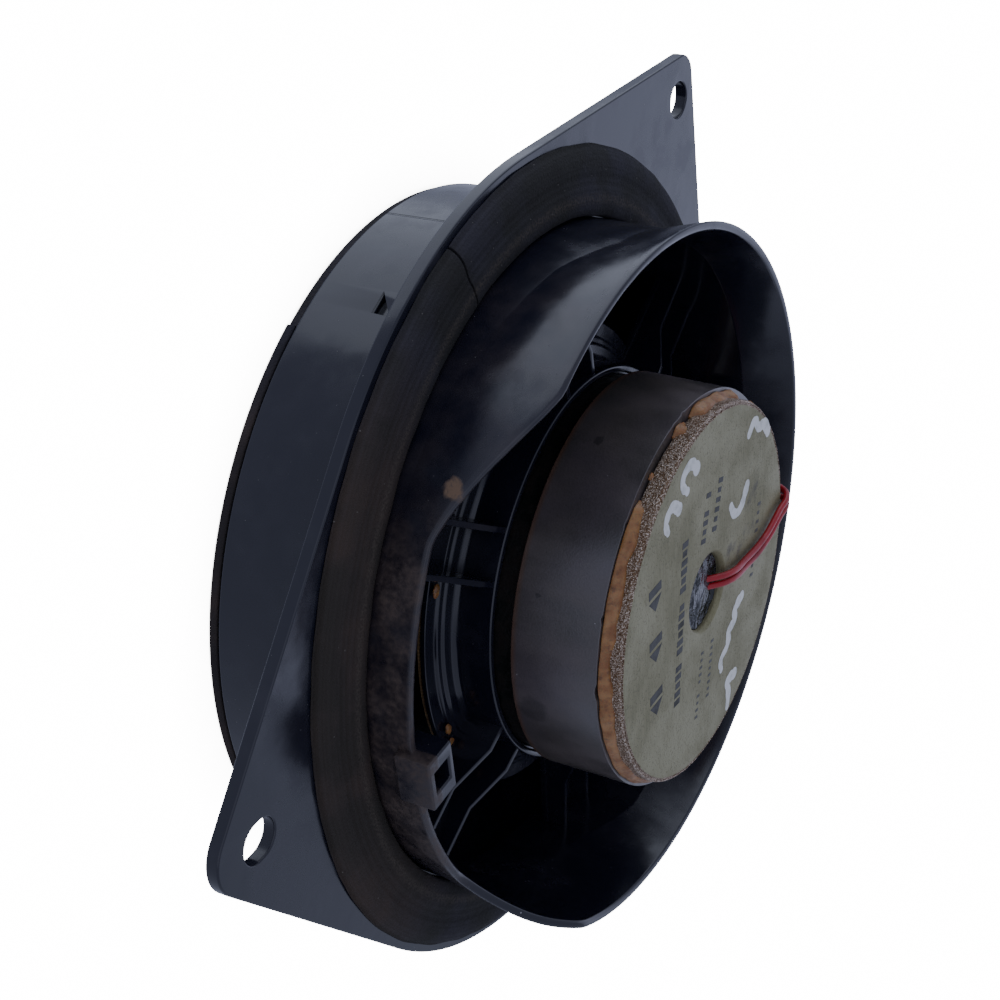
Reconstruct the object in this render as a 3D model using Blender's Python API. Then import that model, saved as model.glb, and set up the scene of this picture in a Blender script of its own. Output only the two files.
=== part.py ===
"""Coaxial car door loudspeaker standing face-down on its front rim, axis upright, magnet on top.

Lengths are in millimetres and become metres in MM. Z is the height above the front rim.
X runs from the speaker's axis to the screw ear beside the cable clip. Profiles are (radius, Z).
"""

import math

import bmesh
import bpy
from mathutils import Matrix, Vector

MM = 0.001
GAP = 0.3  # between pieces that touch

# Moulded frame: collar, flange with three ears, rain hood, cup and spokes
RIM_Z = 2.3
COLLAR_R = 79.5
COLLAR_DRAFT = 0.8
COLLAR_INNER_R = 77.0
RIM_INNER_R = 76.2
SEAT_R, SEAT_Z, SEAT_T = 68.8, 11.2, 2.0
FLANGE_Z, FLANGE_TOP = 30.8, 33.8
DISC_R = 94.4
EARS = ((0.0, 114.8, 9.0), (132.6, 116.8, 6.0), (227.4, 116.8, 6.0))  # angle, tip centre, tip radius
# Each ear hole: angle, centre radius, and half the length of its straight part.
EAR_HOLES = ((0.4, 110.8, 0.6), (133.4, 112.5, 0.0), (226.6, 112.5, 0.0))
EAR_HOLE_R = 4.3
HOOD_BASE_R, HOOD_FLARE, HOOD_T = 76.6, 3.6, 2.0
HOOD_LOW_Z, HOOD_HIGH_Z = 47.4, 64.8
HOOD_RAMP = (33.0, 58.0)  # degrees from the clip, start and end of the slope
CUP_R, CUP_T = 45.4, 2.6
LANDING_R, LANDING_Z = 54.0, 34.8
CUP_FLOOR_Z, CUP_TOP_Z = 43.7, 46.8
CUP_OPENING_R, RECESS_R = 33.0, 43.9
SPOKE_ANGLES = (-31.5, 31.0, 90.0, 150.0, -150.0, -90.0)
SPOKE_HALF_W, RIB_T = 5.75, 1.4
SHELF_ANGLE, SHELF_HALF_W, SHELF_Z = 180.0, 11.0, 38.0
CLIP_ANGLE = 4.0

# Motor
TOP_PLATE_R, TOP_PLATE_Z = 43.4, 46.0
MAGNET_R, MAGNET_Z, MAGNET_TOP = 45.0, 51.2, 71.2
BACK_R, BACK_Z, BACK_TOP = 43.0, 71.5, 75.8
POLE_R, VENT_R, GAP_R = 15.0, 8.8, 17.3

# Cone assembly
FORMER_R, FORMER_T = 15.5, 0.4
WINDING_R, WINDING_T = 16.1, 0.6
CONE_NECK_R = 17.9
CONE_NECK_Z, CONE_EDGE_Z, CONE_EDGE_R = 32.0, 12.0, 61.5
SPIDER_Z = 34.0

# Tweeter on its post
POST_R = 5.2
TWEETER_R = 19.5

BLACK = (0.012, 0.012, 0.016)
FOAM = (0.035, 0.032, 0.026)
STEEL = (0.33, 0.33, 0.30)
FERRITE = (0.045, 0.045, 0.052)
AXIS_X = -0.5 * (EARS[0][1] + EARS[0][2] - DISC_R)  # puts the origin midway along X


def material(name, colour, roughness, metallic=0.0):
    mat = bpy.data.materials.get(name) or bpy.data.materials.new(name)
    mat.use_nodes = True
    shader = mat.node_tree.nodes["Principled BSDF"]
    shader.inputs["Base Color"].default_value = (*colour, 1.0)
    shader.inputs["Roughness"].default_value = roughness
    shader.inputs["Metallic"].default_value = metallic
    return mat


def add_object(name, bm, mat=None, smooth=True, z=0.0, x=0.0, helper=False):
    """Turn a bmesh in millimetres into an object whose origin is on the speaker's axis at height z."""
    bmesh.ops.recalc_face_normals(bm, faces=bm.faces)
    bm.transform(Matrix.Scale(MM, 4) @ Matrix.Translation((-x, 0, -z)))
    mesh = bpy.data.meshes.new(name)
    bm.to_mesh(mesh)
    bm.free()
    obj = bpy.data.objects.new(name, mesh)
    obj.location = ((AXIS_X + x) * MM, 0, z * MM)
    bpy.context.scene.collection.objects.link(obj)
    if smooth:
        mesh.shade_smooth()
        mesh.set_sharp_from_angle(angle=math.radians(32))
    if mat:
        mesh.materials.append(mat)
    if helper:
        obj.hide_render = True
        obj.display_type = "WIRE"
    return obj


def polar(radius, degrees, z):
    angle = math.radians(degrees)
    return Vector((radius * math.cos(angle), radius * math.sin(angle), z))


def spin_profile(bm, profile, segments):
    """Add the closed body that a closed (radius, Z) profile sweeps round the Z axis."""
    rings = []
    for radius, z in profile:
        count = 1 if radius == 0 else segments
        rings.append([bm.verts.new(polar(radius, 360 * i / segments, z)) for i in range(count)])
    for lower, upper in zip(rings, rings[1:] + rings[:1]):
        if len(lower) == 1 and len(upper) == 1:
            continue
        for i in range(segments):
            j = (i + 1) % segments
            if len(lower) == 1:
                bm.faces.new((lower[0], upper[j], upper[i]))
            elif len(upper) == 1:
                bm.faces.new((lower[i], lower[j], upper[0]))
            else:
                bm.faces.new((lower[i], lower[j], upper[j], upper[i]))


def turned(name, profile, mat, segments=64, z=0.0, x=0.0, helper=False):
    bm = bmesh.new()
    spin_profile(bm, profile, segments)
    return add_object(name, bm, mat, z=z, x=x, helper=helper)


def thick_curve(points, thickness):
    """Close an open (radius, Z) line into a sheet of even thickness, for spun skins."""
    upper = []
    for i, (r, z) in enumerate(points):
        before = points[max(i - 1, 0)]
        after = points[min(i + 1, len(points) - 1)]
        run = Vector((after[0] - before[0], after[1] - before[1])).normalized()
        upper.append((r - run.y * thickness, z + run.x * thickness))
    return list(points) + upper[::-1]


def add_prism(bm, outline, low, high, place=Matrix.Identity(4)):
    """Add an upright prism over an (x, y) outline."""
    bottom = [bm.verts.new(place @ Vector((x, y, low))) for x, y in outline]
    top = [bm.verts.new(place @ Vector((x, y, high))) for x, y in outline]
    bm.faces.new(bottom[::-1])
    bm.faces.new(top)
    for i in range(len(outline)):
        j = (i + 1) % len(outline)
        bm.faces.new((bottom[i], bottom[j], top[j], top[i]))


def rectangle(x0, x1, y0, y1):
    return [(x0, y0), (x1, y0), (x1, y1), (x0, y1)]


def wire(name, points, radius, mat, resolution=3):
    """A round wire along a smooth path with flat ends."""
    curve = bpy.data.curves.new(name, "CURVE")
    curve.dimensions = "3D"
    curve.bevel_depth = radius * MM
    curve.bevel_resolution = 1
    curve.resolution_u = resolution
    curve.use_fill_caps = True
    spline = curve.splines.new("BEZIER")
    spline.bezier_points.add(len(points) - 1)
    for knot, point in zip(spline.bezier_points, points):
        knot.co = Vector(point) * MM
        knot.handle_left_type = knot.handle_right_type = "AUTO"
    curve.materials.append(mat)
    obj = bpy.data.objects.new(name, curve)
    obj.location = (AXIS_X * MM, 0, 0)
    bpy.context.scene.collection.objects.link(obj)
    return obj


def join_or_cut(obj, other, operation):
    modifier = obj.modifiers.new(f"{operation.lower()} {other.name}", "BOOLEAN")
    modifier.operation = operation
    modifier.solver = "EXACT"
    modifier.object = other


def flange_outline():
    """Disc with three ears: each ear's sides are tangent to the disc and to its rounded tip."""
    points = []
    for n, (ear, tip_at, tip_r) in enumerate(EARS):
        half = math.degrees(math.acos((DISC_R - tip_r) / tip_at))
        centre = polar(tip_at, ear, 0)
        points += [centre + polar(tip_r, ear - half + 2 * half * k / 8, 0) for k in range(9)]
        after, next_at, next_r = EARS[(n + 1) % len(EARS)]
        start = ear + half
        end = after % 360 - math.degrees(math.acos((DISC_R - next_r) / next_at))
        end = start + (end - start) % 360
        steps = max(2, round((end - start) / 5))
        points += [polar(DISC_R, start + (end - start) * k / steps, 0) for k in range(steps + 1)]
    return [(point.x, point.y) for point in points]


def smooth(t):
    t = min(max(t, 0.0), 1.0)
    return t * t * (3 - 2 * t)


def hood_radius(z):
    return HOOD_BASE_R + HOOD_FLARE * smooth((z - FLANGE_TOP - 6) / 22)


def hood_rim(degrees):
    away = abs((degrees + 180) % 360 - 180)
    start, end = HOOD_RAMP
    t = min(max((away - start) / (end - start), 0.0), 1.0)
    return HOOD_LOW_Z + (HOOD_HIGH_Z - HOOD_LOW_Z) * (0.6 * t + 0.4 * smooth(t))


def hood_shell():
    bm = bmesh.new()
    segments, levels, foot = 80, 4, FLANGE_Z - 0.8
    columns = []
    for i in range(segments):
        degrees = 360 * i / segments
        rim = hood_rim(degrees)
        heights = [foot + (rim - 0.5 - foot) * k / levels for k in range(levels + 1)]
        outer = [polar(hood_radius(z), degrees, z) for z in heights]
        crest = [polar(hood_radius(rim) - inset, degrees, rim) for inset in (0.5, HOOD_T - 0.5)]
        inner = [polar(hood_radius(z) - HOOD_T, degrees, z) for z in reversed(heights)]
        columns.append([bm.verts.new(point) for point in outer + crest + inner])
    for first, second in zip(columns, columns[1:] + columns[:1]):
        for k in range(len(first)):
            m = (k + 1) % len(first)
            bm.faces.new((first[k], second[k], second[m], first[m]))
    return add_object("hood_shell", bm, helper=True)


def spokes():
    """Six channel spokes: flat webs level with the cup's foot, and two ribs each up to the cup's top."""
    wall = HOOD_BASE_R - 1.0
    side = [(CUP_R - 1.0, 35.3), (wall, 35.3), (wall, 41.0), (61.0, 41.6), (50.5, 46.0), (CUP_R - 1.0, 46.4)]
    webs, ribs = bmesh.new(), bmesh.new()
    for degrees in SPOKE_ANGLES:
        turn = Matrix.Rotation(math.radians(degrees), 4, "Z")
        add_prism(webs, rectangle(CUP_R - 0.8, wall, -SPOKE_HALF_W - 1.2, SPOKE_HALF_W + 1.2), 35.0, 36.6, turn)
        for offset in (-SPOKE_HALF_W, SPOKE_HALF_W):
            stand = turn @ Matrix.Translation((0, offset, 0)) @ Matrix.Rotation(math.radians(90), 4, "X")
            add_prism(ribs, side, -RIB_T / 2, RIB_T / 2, stand)
    shelf = Matrix.Rotation(math.radians(SHELF_ANGLE), 4, "Z")
    add_prism(webs, rectangle(58.2, wall, -SHELF_HALF_W, SHELF_HALF_W), SHELF_Z, SHELF_Z + 2.0, shelf)
    return add_object("spoke_webs_and_shelf", webs, helper=True), add_object("spoke_ribs", ribs, helper=True)


def build_frame(plastic):
    collar = [
        (COLLAR_R, RIM_Z),
        (COLLAR_R + COLLAR_DRAFT, FLANGE_Z + 1.2),
        (COLLAR_INNER_R + 0.4, FLANGE_Z + 1.2),
        (COLLAR_INNER_R, SEAT_Z + SEAT_T),
        (SEAT_R, SEAT_Z + SEAT_T),
        (SEAT_R, SEAT_Z),
        (RIM_INNER_R, SEAT_Z),
        (RIM_INNER_R, RIM_Z),
    ]
    frame = turned("basket_frame", collar, plastic, segments=72)

    bm = bmesh.new()
    add_prism(bm, flange_outline(), FLANGE_Z, FLANGE_TOP)
    flange = add_object("flange_plate", bm, helper=True)
    inside = HOOD_BASE_R - 1.1
    bore = turned("flange_bore", [(0, 25), (inside, 25), (inside, 40), (0, 40)], None, 72, helper=True)
    join_or_cut(flange, bore, "DIFFERENCE")
    join_or_cut(frame, flange, "UNION")
    join_or_cut(frame, hood_shell(), "UNION")

    cup = [
        (LANDING_R, LANDING_Z),
        (LANDING_R, LANDING_Z + 2.0),
        (CUP_R, LANDING_Z + 2.4),
        (CUP_R, CUP_TOP_Z),
        (RECESS_R, CUP_TOP_Z),
        (RECESS_R, CUP_FLOOR_Z + 2.0),
        (CUP_OPENING_R, CUP_FLOOR_Z + 2.0),
        (CUP_OPENING_R, CUP_FLOOR_Z),
        (CUP_R - CUP_T, CUP_FLOOR_Z),
        (CUP_R - CUP_T, LANDING_Z),
    ]
    cup = turned("spider_cup", cup, None, 72, helper=True)
    join_or_cut(frame, cup, "UNION")
    for piece in spokes():
        join_or_cut(frame, piece, "UNION")

    clip_turn = Matrix.Rotation(math.radians(CLIP_ANGLE), 4, "Z")
    bm = bmesh.new()
    add_prism(bm, rectangle(70.4, 79.2, -6.0, 6.0), 43.6, 52.0, clip_turn)
    clip = add_object("cable_clip_block", bm, helper=True)
    bm = bmesh.new()
    add_prism(bm, rectangle(72.2, 77.4, -2.6, 2.6), 43.0, 53.0, clip_turn)
    for degrees, centre, stretch in EAR_HOLES:
        turn = Matrix.Rotation(math.radians(degrees), 4, "Z")
        hole = []
        for k in range(24):
            angle = 2 * math.pi * (k + 0.5) / 24
            shift = math.copysign(stretch, math.cos(angle))
            hole.append((centre + shift + EAR_HOLE_R * math.cos(angle), EAR_HOLE_R * math.sin(angle)))
        add_prism(bm, hole, FLANGE_Z - 3, FLANGE_TOP + 3, turn)
    holes = add_object("holes_and_clip_slot", bm, helper=True)
    join_or_cut(frame, clip, "UNION")
    join_or_cut(frame, holes, "DIFFERENCE")
    return frame


def build_gaskets(foam, board):
    turned("front_gasket", [(76.5, 0), (79.2, 0), (79.3, RIM_Z - GAP), (76.5, RIM_Z - GAP)], board, 64)
    foot = FLANGE_TOP + GAP
    profile = [
        (HOOD_BASE_R + GAP, foot),
        (92.3, foot),
        (92.6, foot + 1.6),
        (91.0, foot + 3.0),
        (88.0, foot + 3.3),
        (85.4, foot + 2.8),
        (84.6, foot + 2.6),
        (83.6, foot + 3.1),
        (80.5, foot + 3.6),
        (78.0, foot + 3.3),
        (HOOD_BASE_R + GAP, foot + 2.2),
    ]
    turned("rear_gasket", profile, foam, 60)


def build_motor(steel, ferrite, glue):
    turned(
        "top_plate",
        [
            (GAP_R, TOP_PLATE_Z),
            (TOP_PLATE_R, TOP_PLATE_Z),
            (TOP_PLATE_R, MAGNET_Z - GAP),
            (GAP_R, MAGNET_Z - GAP),
        ],
        steel,
        64,
    )
    turned(
        "ferrite_magnet",
        [
            (22.5, MAGNET_Z),
            (MAGNET_R - 0.8, MAGNET_Z),
            (MAGNET_R, MAGNET_Z + 0.8),
            (MAGNET_R, MAGNET_TOP - 0.8),
            (MAGNET_R - 0.8, MAGNET_TOP),
            (22.5, MAGNET_TOP),
        ],
        ferrite,
        64,
    )
    turned(
        "t_yoke",
        [
            (VENT_R, TOP_PLATE_Z),
            (POLE_R, TOP_PLATE_Z),
            (POLE_R, BACK_Z),
            (BACK_R, BACK_Z),
            (BACK_R, BACK_TOP - 0.7),
            (BACK_R - 0.7, BACK_TOP),
            (VENT_R + 0.5, BACK_TOP),
            (VENT_R, BACK_TOP - 0.5),
        ],
        steel,
        64,
    )
    turned(
        "glue_bead",
        [
            (BACK_R + GAP, BACK_Z),
            (MAGNET_R - 0.5, BACK_Z),
            (44.2, BACK_Z + 0.9),
            (43.6, BACK_Z + 1.5),
            (BACK_R + GAP, BACK_Z + 1.7),
        ],
        glue,
        64,
    )


def roll_profile():
    """Surround: flat outer ring, one half roll towards the front, narrow inner ring on the cone."""
    flat = SEAT_Z - GAP - 0.8
    points = [(RIM_INNER_R - GAP, flat), (70.2, flat)]
    angles = [math.pi * k / 8 for k in range(9)]
    points += [(65.6 + 4.5 * math.cos(a), flat - 4.6 * math.sin(a)) for a in angles]
    points.append((59.6, flat - 0.2))
    return thick_curve(points, -0.7)


def spider_profile():
    points = [(53.6, SPIDER_Z)]
    points += [(45.5, SPIDER_Z)]
    waves, inner, outer = 4, 21.0, 43.5
    for k in range(waves * 4 + 1):
        r = outer - (outer - inner) * k / (waves * 4)
        points.append((r, SPIDER_Z - 1.1 * math.sin(math.pi * k / 2)))
    points.append((17.0, SPIDER_Z))
    return thick_curve(points, -0.45)


def cone_line(r):
    """Z of the cone's rear face: slightly flared from the neck to the edge."""
    t = (r - CONE_NECK_R) / (CONE_EDGE_R - CONE_NECK_R)
    return CONE_NECK_Z + (CONE_EDGE_Z - CONE_NECK_Z) * t - 2.2 * math.sin(math.pi * t) * (1 - 0.35 * t)


def build_cone(paper, cloth, film, copper, rubber):
    radii = [CONE_NECK_R + (CONE_EDGE_R - CONE_NECK_R) * k / 7 for k in range(8)]
    line = [(CONE_NECK_R - 0.6, CONE_NECK_Z + 1.4)] + [(r, cone_line(r)) for r in radii]
    turned("cone", thick_curve(line, -0.9), paper, 48)
    neck = [
        (FORMER_R, 30.0),
        (FORMER_R + FORMER_T, 30.0),
        (FORMER_R + FORMER_T, 52.2),
        (FORMER_R, 52.2),
    ]
    turned("voice_coil_former", neck, film, 48)
    turned(
        "voice_coil_winding",
        [(WINDING_R, 45.2), (WINDING_R + WINDING_T, 45.2), (WINDING_R + WINDING_T, 51.8), (WINDING_R, 51.8)],
        copper,
        48,
    )
    turned("spider", spider_profile(), cloth, 32)
    turned("surround", roll_profile(), rubber, 48)


def build_tweeter(plastic, steel, magnet, film, copper, silk):
    turned(
        "tweeter_post",
        [
            (2.6, 15.7),
            (POST_R, 15.7),
            (POST_R, 55.0),
            (VENT_R - GAP, 57.0),
            (VENT_R - GAP, 69.5),
            (2.6, 69.5),
        ],
        plastic,
        32,
    )
    turned(
        "tweeter_housing",
        [
            (2.6, 13.6),
            (2.6, 15.4),
            (POST_R + 2.0, 15.4),
            (17.0, 14.0),
            (TWEETER_R, 11.5),
            (TWEETER_R, 6.8),
            (17.6, 6.8),
            (17.6, 11.0),
            (15.5, 13.6 - 1.0),
            (12.0, 13.6),
        ],
        plastic,
        48,
    )
    turned("tweeter_pot", [(0, 13.3), (0, 12.0), (8.9, 12.0), (8.9, 8.3), (10.4, 8.3), (10.4, 13.3)], steel, 40)
    turned("tweeter_magnet", [(0, 11.7), (0, 9.6), (7.0, 9.6), (7.0, 11.7)], magnet, 40)
    turned("tweeter_pole_plate", [(0, 9.3), (0, 8.2), (7.4, 8.2), (7.4, 9.3)], steel, 40)
    turned("tweeter_coil", [(7.85, 10.6), (7.85, 8.0), (8.3, 8.0), (8.3, 10.6)], copper, 40)
    dome = [(8.6 * k / 5, 4.6 + 2.6 * (k / 5) ** 2) for k in range(6)]
    turned("tweeter_dome", thick_curve(dome, 0.35), silk, 28)
    ring = [(8.95, 7.0), (9.6, 6.3), (10.6, 6.0), (11.6, 6.4), (12.4, 7.0), (15.6, 7.0)]
    turned("tweeter_suspension", thick_curve(ring, 0.3), silk, 28)
    face = turned(
        "tweeter_faceplate",
        [(12.6, 6.6), (TWEETER_R, 6.4), (TWEETER_R, 5.2), (17.5, 3.6), (14.0, 3.4), (12.6, 4.6)],
        plastic,
        48,
    )
    bm = bmesh.new()
    for degrees in (0, 120, 240):
        turn = Matrix.Rotation(math.radians(degrees), 4, "Z")
        add_prism(bm, rectangle(3.4, 14.6, -0.8, 0.8), 2.6, 3.9, turn)
    bars = add_object("faceplate_bars", bm, helper=True)
    hub = turned("faceplate_hub", [(0, 2.4), (4.4, 2.4), (4.4, 3.8), (0, 3.8)], None, 24, helper=True)
    join_or_cut(face, bars, "UNION")
    join_or_cut(face, hub, "UNION")


def build_terminals(board, brass, sleeve, red, braid):
    turn = Matrix.Rotation(math.radians(SHELF_ANGLE), 4, "Z")
    top = SHELF_Z + 2.0 + GAP
    bm = bmesh.new()
    add_prism(bm, rectangle(58.6, 72.0, -10.5, 10.5), top, top + 1.6, turn)
    board_piece = add_object("terminal_board", bm, board, smooth=False)
    bm = bmesh.new()
    spin_profile(bm, [(0, 30), (1.3, 30), (1.3, 50), (0, 50)], 16)
    bm.transform(turn @ Matrix.Translation((65.5, 0, 0)))
    hole = add_object("rivet_hole", bm, helper=True)
    join_or_cut(board_piece, hole, "DIFFERENCE")
    join_or_cut(bpy.data.objects["basket_frame"], hole, "DIFFERENCE")

    bm = bmesh.new()
    low, high = SHELF_Z - GAP, top + 1.6 + GAP
    shank, head = 1.0, 2.4
    lower_half = [(0, low - 1.0), (2.2, low - 0.8), (head, low), (shank, low)]
    upper_half = [(shank, high), (head, high), (2.1, high + 0.9), (0, high + 1.1)]
    spin_profile(bm, lower_half + upper_half, 20)
    bm.transform(turn @ Matrix.Translation((65.5, 0, 0)))
    add_object("terminal_rivet", bm, brass)

    lug_z = top + 1.6 + GAP
    for number, side in ((1, -1), (2, 1)):
        bm = bmesh.new()
        y = 7.0 * side
        add_prism(bm, rectangle(59.2, 70.8, y - 2.4, y + 2.4), lug_z, lug_z + 0.8, turn)
        blade = add_object(f"terminal_lug_{number}", bm, brass, smooth=False)
        bm = bmesh.new()
        add_prism(bm, rectangle(70.0, 70.8, y - 2.35, y + 2.35), lug_z + 0.3, lug_z + 9.0, turn)
        tab = add_object(f"lug_blade_{number}", bm, smooth=False, helper=True)
        join_or_cut(blade, tab, "UNION")

    can = Matrix.Translation((-53.8, 0, 46.3)) @ Matrix.Rotation(math.radians(90), 4, "X")
    half = [(0.45, 7.4), (3.2, 7.5), (3.6, 7.1)]
    profile = [(0, -10), (0.45, -10), *((r, -z) for r, z in half)]
    profile += [*half[::-1], (0.45, 10), (0, 10)]
    bm = bmesh.new()
    spin_profile(bm, profile, 24)
    bm.transform(can)
    add_object("tweeter_capacitor", bm, sleeve)
    tail = [(-53.8, 10.4, 46.3), (-55.2, 12.2, 45.6), (-58.4, 11.0, 44.2), (-60.4, 8.6, 43.6)]
    wire("capacitor_wire", tail, 0.45, brass)

    for number, side in ((1, -1), (2, 1)):
        s = side
        path = [
            (-0.6, 0.9 * s, 68.0),
            (-1.6, 1.0 * s, 71.5),
            (-5.0, 1.0 * s + 0.2, 75.2),
            (-9.2, 0.95 * s + 0.9, 77.15),
            (-18.0, 0.9 * s + 2.4, 77.2),
            (-29.6, 0.9 * s + 2.7, 77.2),
            (-38.5, 0.95 * s + 0.4, 77.2),
            (-43.2, 1.0 * s - 0.2, 76.9),
            (-46.6, 1.2 * s, 74.4),
            (-47.4, 2.2 * s, 66.0),
            (-49.6, 5.6 * s, 57.0),
        ]
        if number == 1:
            path += [(-53.4, -9.6, 50.6), (-53.8, -11.4, 46.3)]
        else:
            path += [(-57.5, 4.0, 51.5), (-62.4, 5.4, 45.2), (-63.4, 6.0, 44.0)]
        wire(f"tweeter_lead_{number}", path, 0.75, red)
        path = [
            (-60.6, 5.4 * s, 43.9),
            (-57.2, 5.0 * s, 43.6),
            (-55.8, 5.0 * s, 40.0),
            (-55.6, 6.0 * s, 35.0),
            (-53.0, 8.5 * s, 28.0),
            (-45.0, 9.0 * s, 24.6),
            (-38.0, 8.0 * s, 23.6),
        ]
        wire(f"tinsel_lead_{number}", path, 0.5, braid)


def main():
    for obj in list(bpy.data.objects):
        bpy.data.objects.remove(obj, do_unlink=True)
    plastic = material("black_plastic", BLACK, 0.25)
    foam = material("gasket_foam", FOAM, 0.9)
    board = material("gasket_board", (0.03, 0.03, 0.03), 0.8)
    plated = material("plated_steel", STEEL, 0.45, 0.9)
    ferrite = material("ferrite", FERRITE, 0.35)
    glue = material("amber_glue", (0.32, 0.14, 0.03), 0.3)
    copper = material("enamelled_copper", (0.45, 0.16, 0.06), 0.35, 0.9)
    film = material("coil_former_film", (0.28, 0.17, 0.06), 0.4)
    brass = material("tinned_brass", (0.5, 0.45, 0.3), 0.35, 0.9)
    build_frame(plastic)
    build_gaskets(foam, board)
    build_motor(plated, ferrite, glue)
    build_cone(
        material("cone_paper", (0.02, 0.02, 0.022), 0.75),
        material("spider_cloth", (0.35, 0.24, 0.1), 0.9),
        film,
        copper,
        material("surround_rubber", (0.015, 0.015, 0.015), 0.6),
    )
    build_tweeter(
        plastic,
        plated,
        material("neodymium", (0.4, 0.4, 0.42), 0.3, 1.0),
        film,
        copper,
        material("coated_silk", (0.03, 0.03, 0.032), 0.5),
    )
    build_terminals(
        material("fibre_board", (0.16, 0.08, 0.04), 0.7),
        brass,
        material("capacitor_sleeve", (0.02, 0.03, 0.08), 0.4),
        material("red_pvc", (0.6, 0.01, 0.02), 0.35),
        material("tinsel_braid", (0.4, 0.35, 0.28), 0.6, 0.5),
    )


main()
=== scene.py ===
"""Coaxial car door speaker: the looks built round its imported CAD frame.

Pieces are modelled in millimetres about the speaker's own upright axis, magnet on top, and become metres in
the shared frame when they are finished. Outlines are (radius, height, corner rounding).
"""

import math

import bmesh
import bpy
from mathutils import Matrix, Vector, noise


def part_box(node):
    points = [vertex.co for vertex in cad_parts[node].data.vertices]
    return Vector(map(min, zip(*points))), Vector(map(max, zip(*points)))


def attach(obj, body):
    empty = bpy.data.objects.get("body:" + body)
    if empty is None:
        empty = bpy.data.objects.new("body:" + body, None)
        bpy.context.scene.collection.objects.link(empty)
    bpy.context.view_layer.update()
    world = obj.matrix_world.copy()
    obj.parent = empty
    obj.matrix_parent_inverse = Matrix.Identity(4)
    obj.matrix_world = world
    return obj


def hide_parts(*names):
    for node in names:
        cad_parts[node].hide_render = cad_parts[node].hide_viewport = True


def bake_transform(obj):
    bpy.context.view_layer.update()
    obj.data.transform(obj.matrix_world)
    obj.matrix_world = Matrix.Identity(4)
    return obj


bl_info = {
    "name": "Coaxial door speaker",
    "version": (1, 0, 0),
    "blender": (4, 5, 0),
    "location": "3D View > Sidebar > Door speaker",
    "description": "Detailed pieces and finishes for a coaxial car door speaker round its CAD frame",
    "category": "Add Mesh",
}

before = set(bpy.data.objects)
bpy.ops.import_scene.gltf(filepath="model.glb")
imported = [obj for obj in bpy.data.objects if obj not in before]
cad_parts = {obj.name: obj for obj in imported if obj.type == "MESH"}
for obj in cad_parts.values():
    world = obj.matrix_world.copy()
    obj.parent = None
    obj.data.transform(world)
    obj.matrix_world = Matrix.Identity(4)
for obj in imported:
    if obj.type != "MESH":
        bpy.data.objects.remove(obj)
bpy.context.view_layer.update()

MM = 0.001
WELD = 0.002  # millimetres within which two points are one
ORIGIN = Vector((0, 0, 0))
UP = Vector((0, 0, 1))


def node_box(node):
    """Lowest and highest corner of a CAD node, in millimetres about the speaker's axis."""
    low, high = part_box(node)
    middle = Vector((AXIS_X * MM, 0, 0))
    return (low - middle) / MM, (high - middle) / MM


AXIS_X = sum(corner.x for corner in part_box("ferrite_magnet")) / 2 / MM
MAGNET_LOW, MAGNET_HIGH = node_box("ferrite_magnet")
MAGNET_R = MAGNET_HIGH.x
PLATE_HIGH = node_box("t_yoke")[1]
PLATE_R, PLATE_TOP = PLATE_HIGH.x, PLATE_HIGH.z
PLATE_LOW = MAGNET_HIGH.z + 0.3
TOP_PLATE_LOW, TOP_PLATE_HIGH = node_box("top_plate")
FLANGE_TOP = node_box("rear_gasket")[0].z - 0.3
HOOD_HIGH = node_box("basket_frame")[1].z
RIM_Z = node_box("front_gasket")[1].z + 0.3
MAGNET_BORE_R = 22.5
POLE_R = 15.0
VENT_R = 8.8
SPIDER_Z = 34.0  # height of the spider between its two landings
SURROUND_Z = 10.1  # height at which the surround is glued down
ROLL_HEIGHT = 4.6
SPOKE_ANGLES = (-31.5, 31.0, 90.0, 150.0, -150.0, -90.0)
CLIP_ANGLE = 4.0


# ---------------------------------------------------------------- settings


def size_prop(name, description, default):
    return bpy.props.FloatProperty(name=name, description=description, default=default, min=0.0)


def colour_prop(name, description, code):
    return bpy.props.FloatVectorProperty(
        name=name,
        description=description,
        default=linear(code)[:3],
        subtype="COLOR",
        min=0.0,
        max=1.0,
        size=3,
    )


def linear(code):
    """Linear RGBA of an sRGB hex colour."""
    channels = [int(code[i : i + 2], 16) / 255 for i in (1, 3, 5)]
    return tuple(c / 12.92 if c <= 0.04045 else ((c + 0.055) / 1.055) ** 2.4 for c in channels) + (1.0,)


class SpeakerSizes(bpy.types.PropertyGroup):
    collar_radius: size_prop("Collar radius", "Outside of the front collar at its rim, mm", 79.5)
    collar_draft: size_prop("Collar draft", "Growth of the collar's radius towards the flange, mm", 0.8)
    disc_radius: size_prop("Flange radius", "Round part of the flange, mm", 94.4)
    hood_radius: size_prop("Hood radius", "Outside of the rain hood at its foot, mm", 76.6)
    hood_flare: size_prop("Hood flare", "How far the high rim stands out, mm", 3.6)
    hood_wall: size_prop("Hood wall", "Wall thickness of the rain hood, mm", 2.0)
    hood_low: size_prop("Low rim", "Height of the hood's rim beside the clip, mm", 47.4)
    rib_thickness: size_prop("Rib thickness", "Thickness of the spoke ribs, mm", 1.4)
    lead_diameter: size_prop("Lead diameter", "Diameter of each red tweeter lead, mm", 1.5)
    panel_power: size_prop("Panel power", "Power of the soft overhead panel, W", 2.1)


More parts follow.
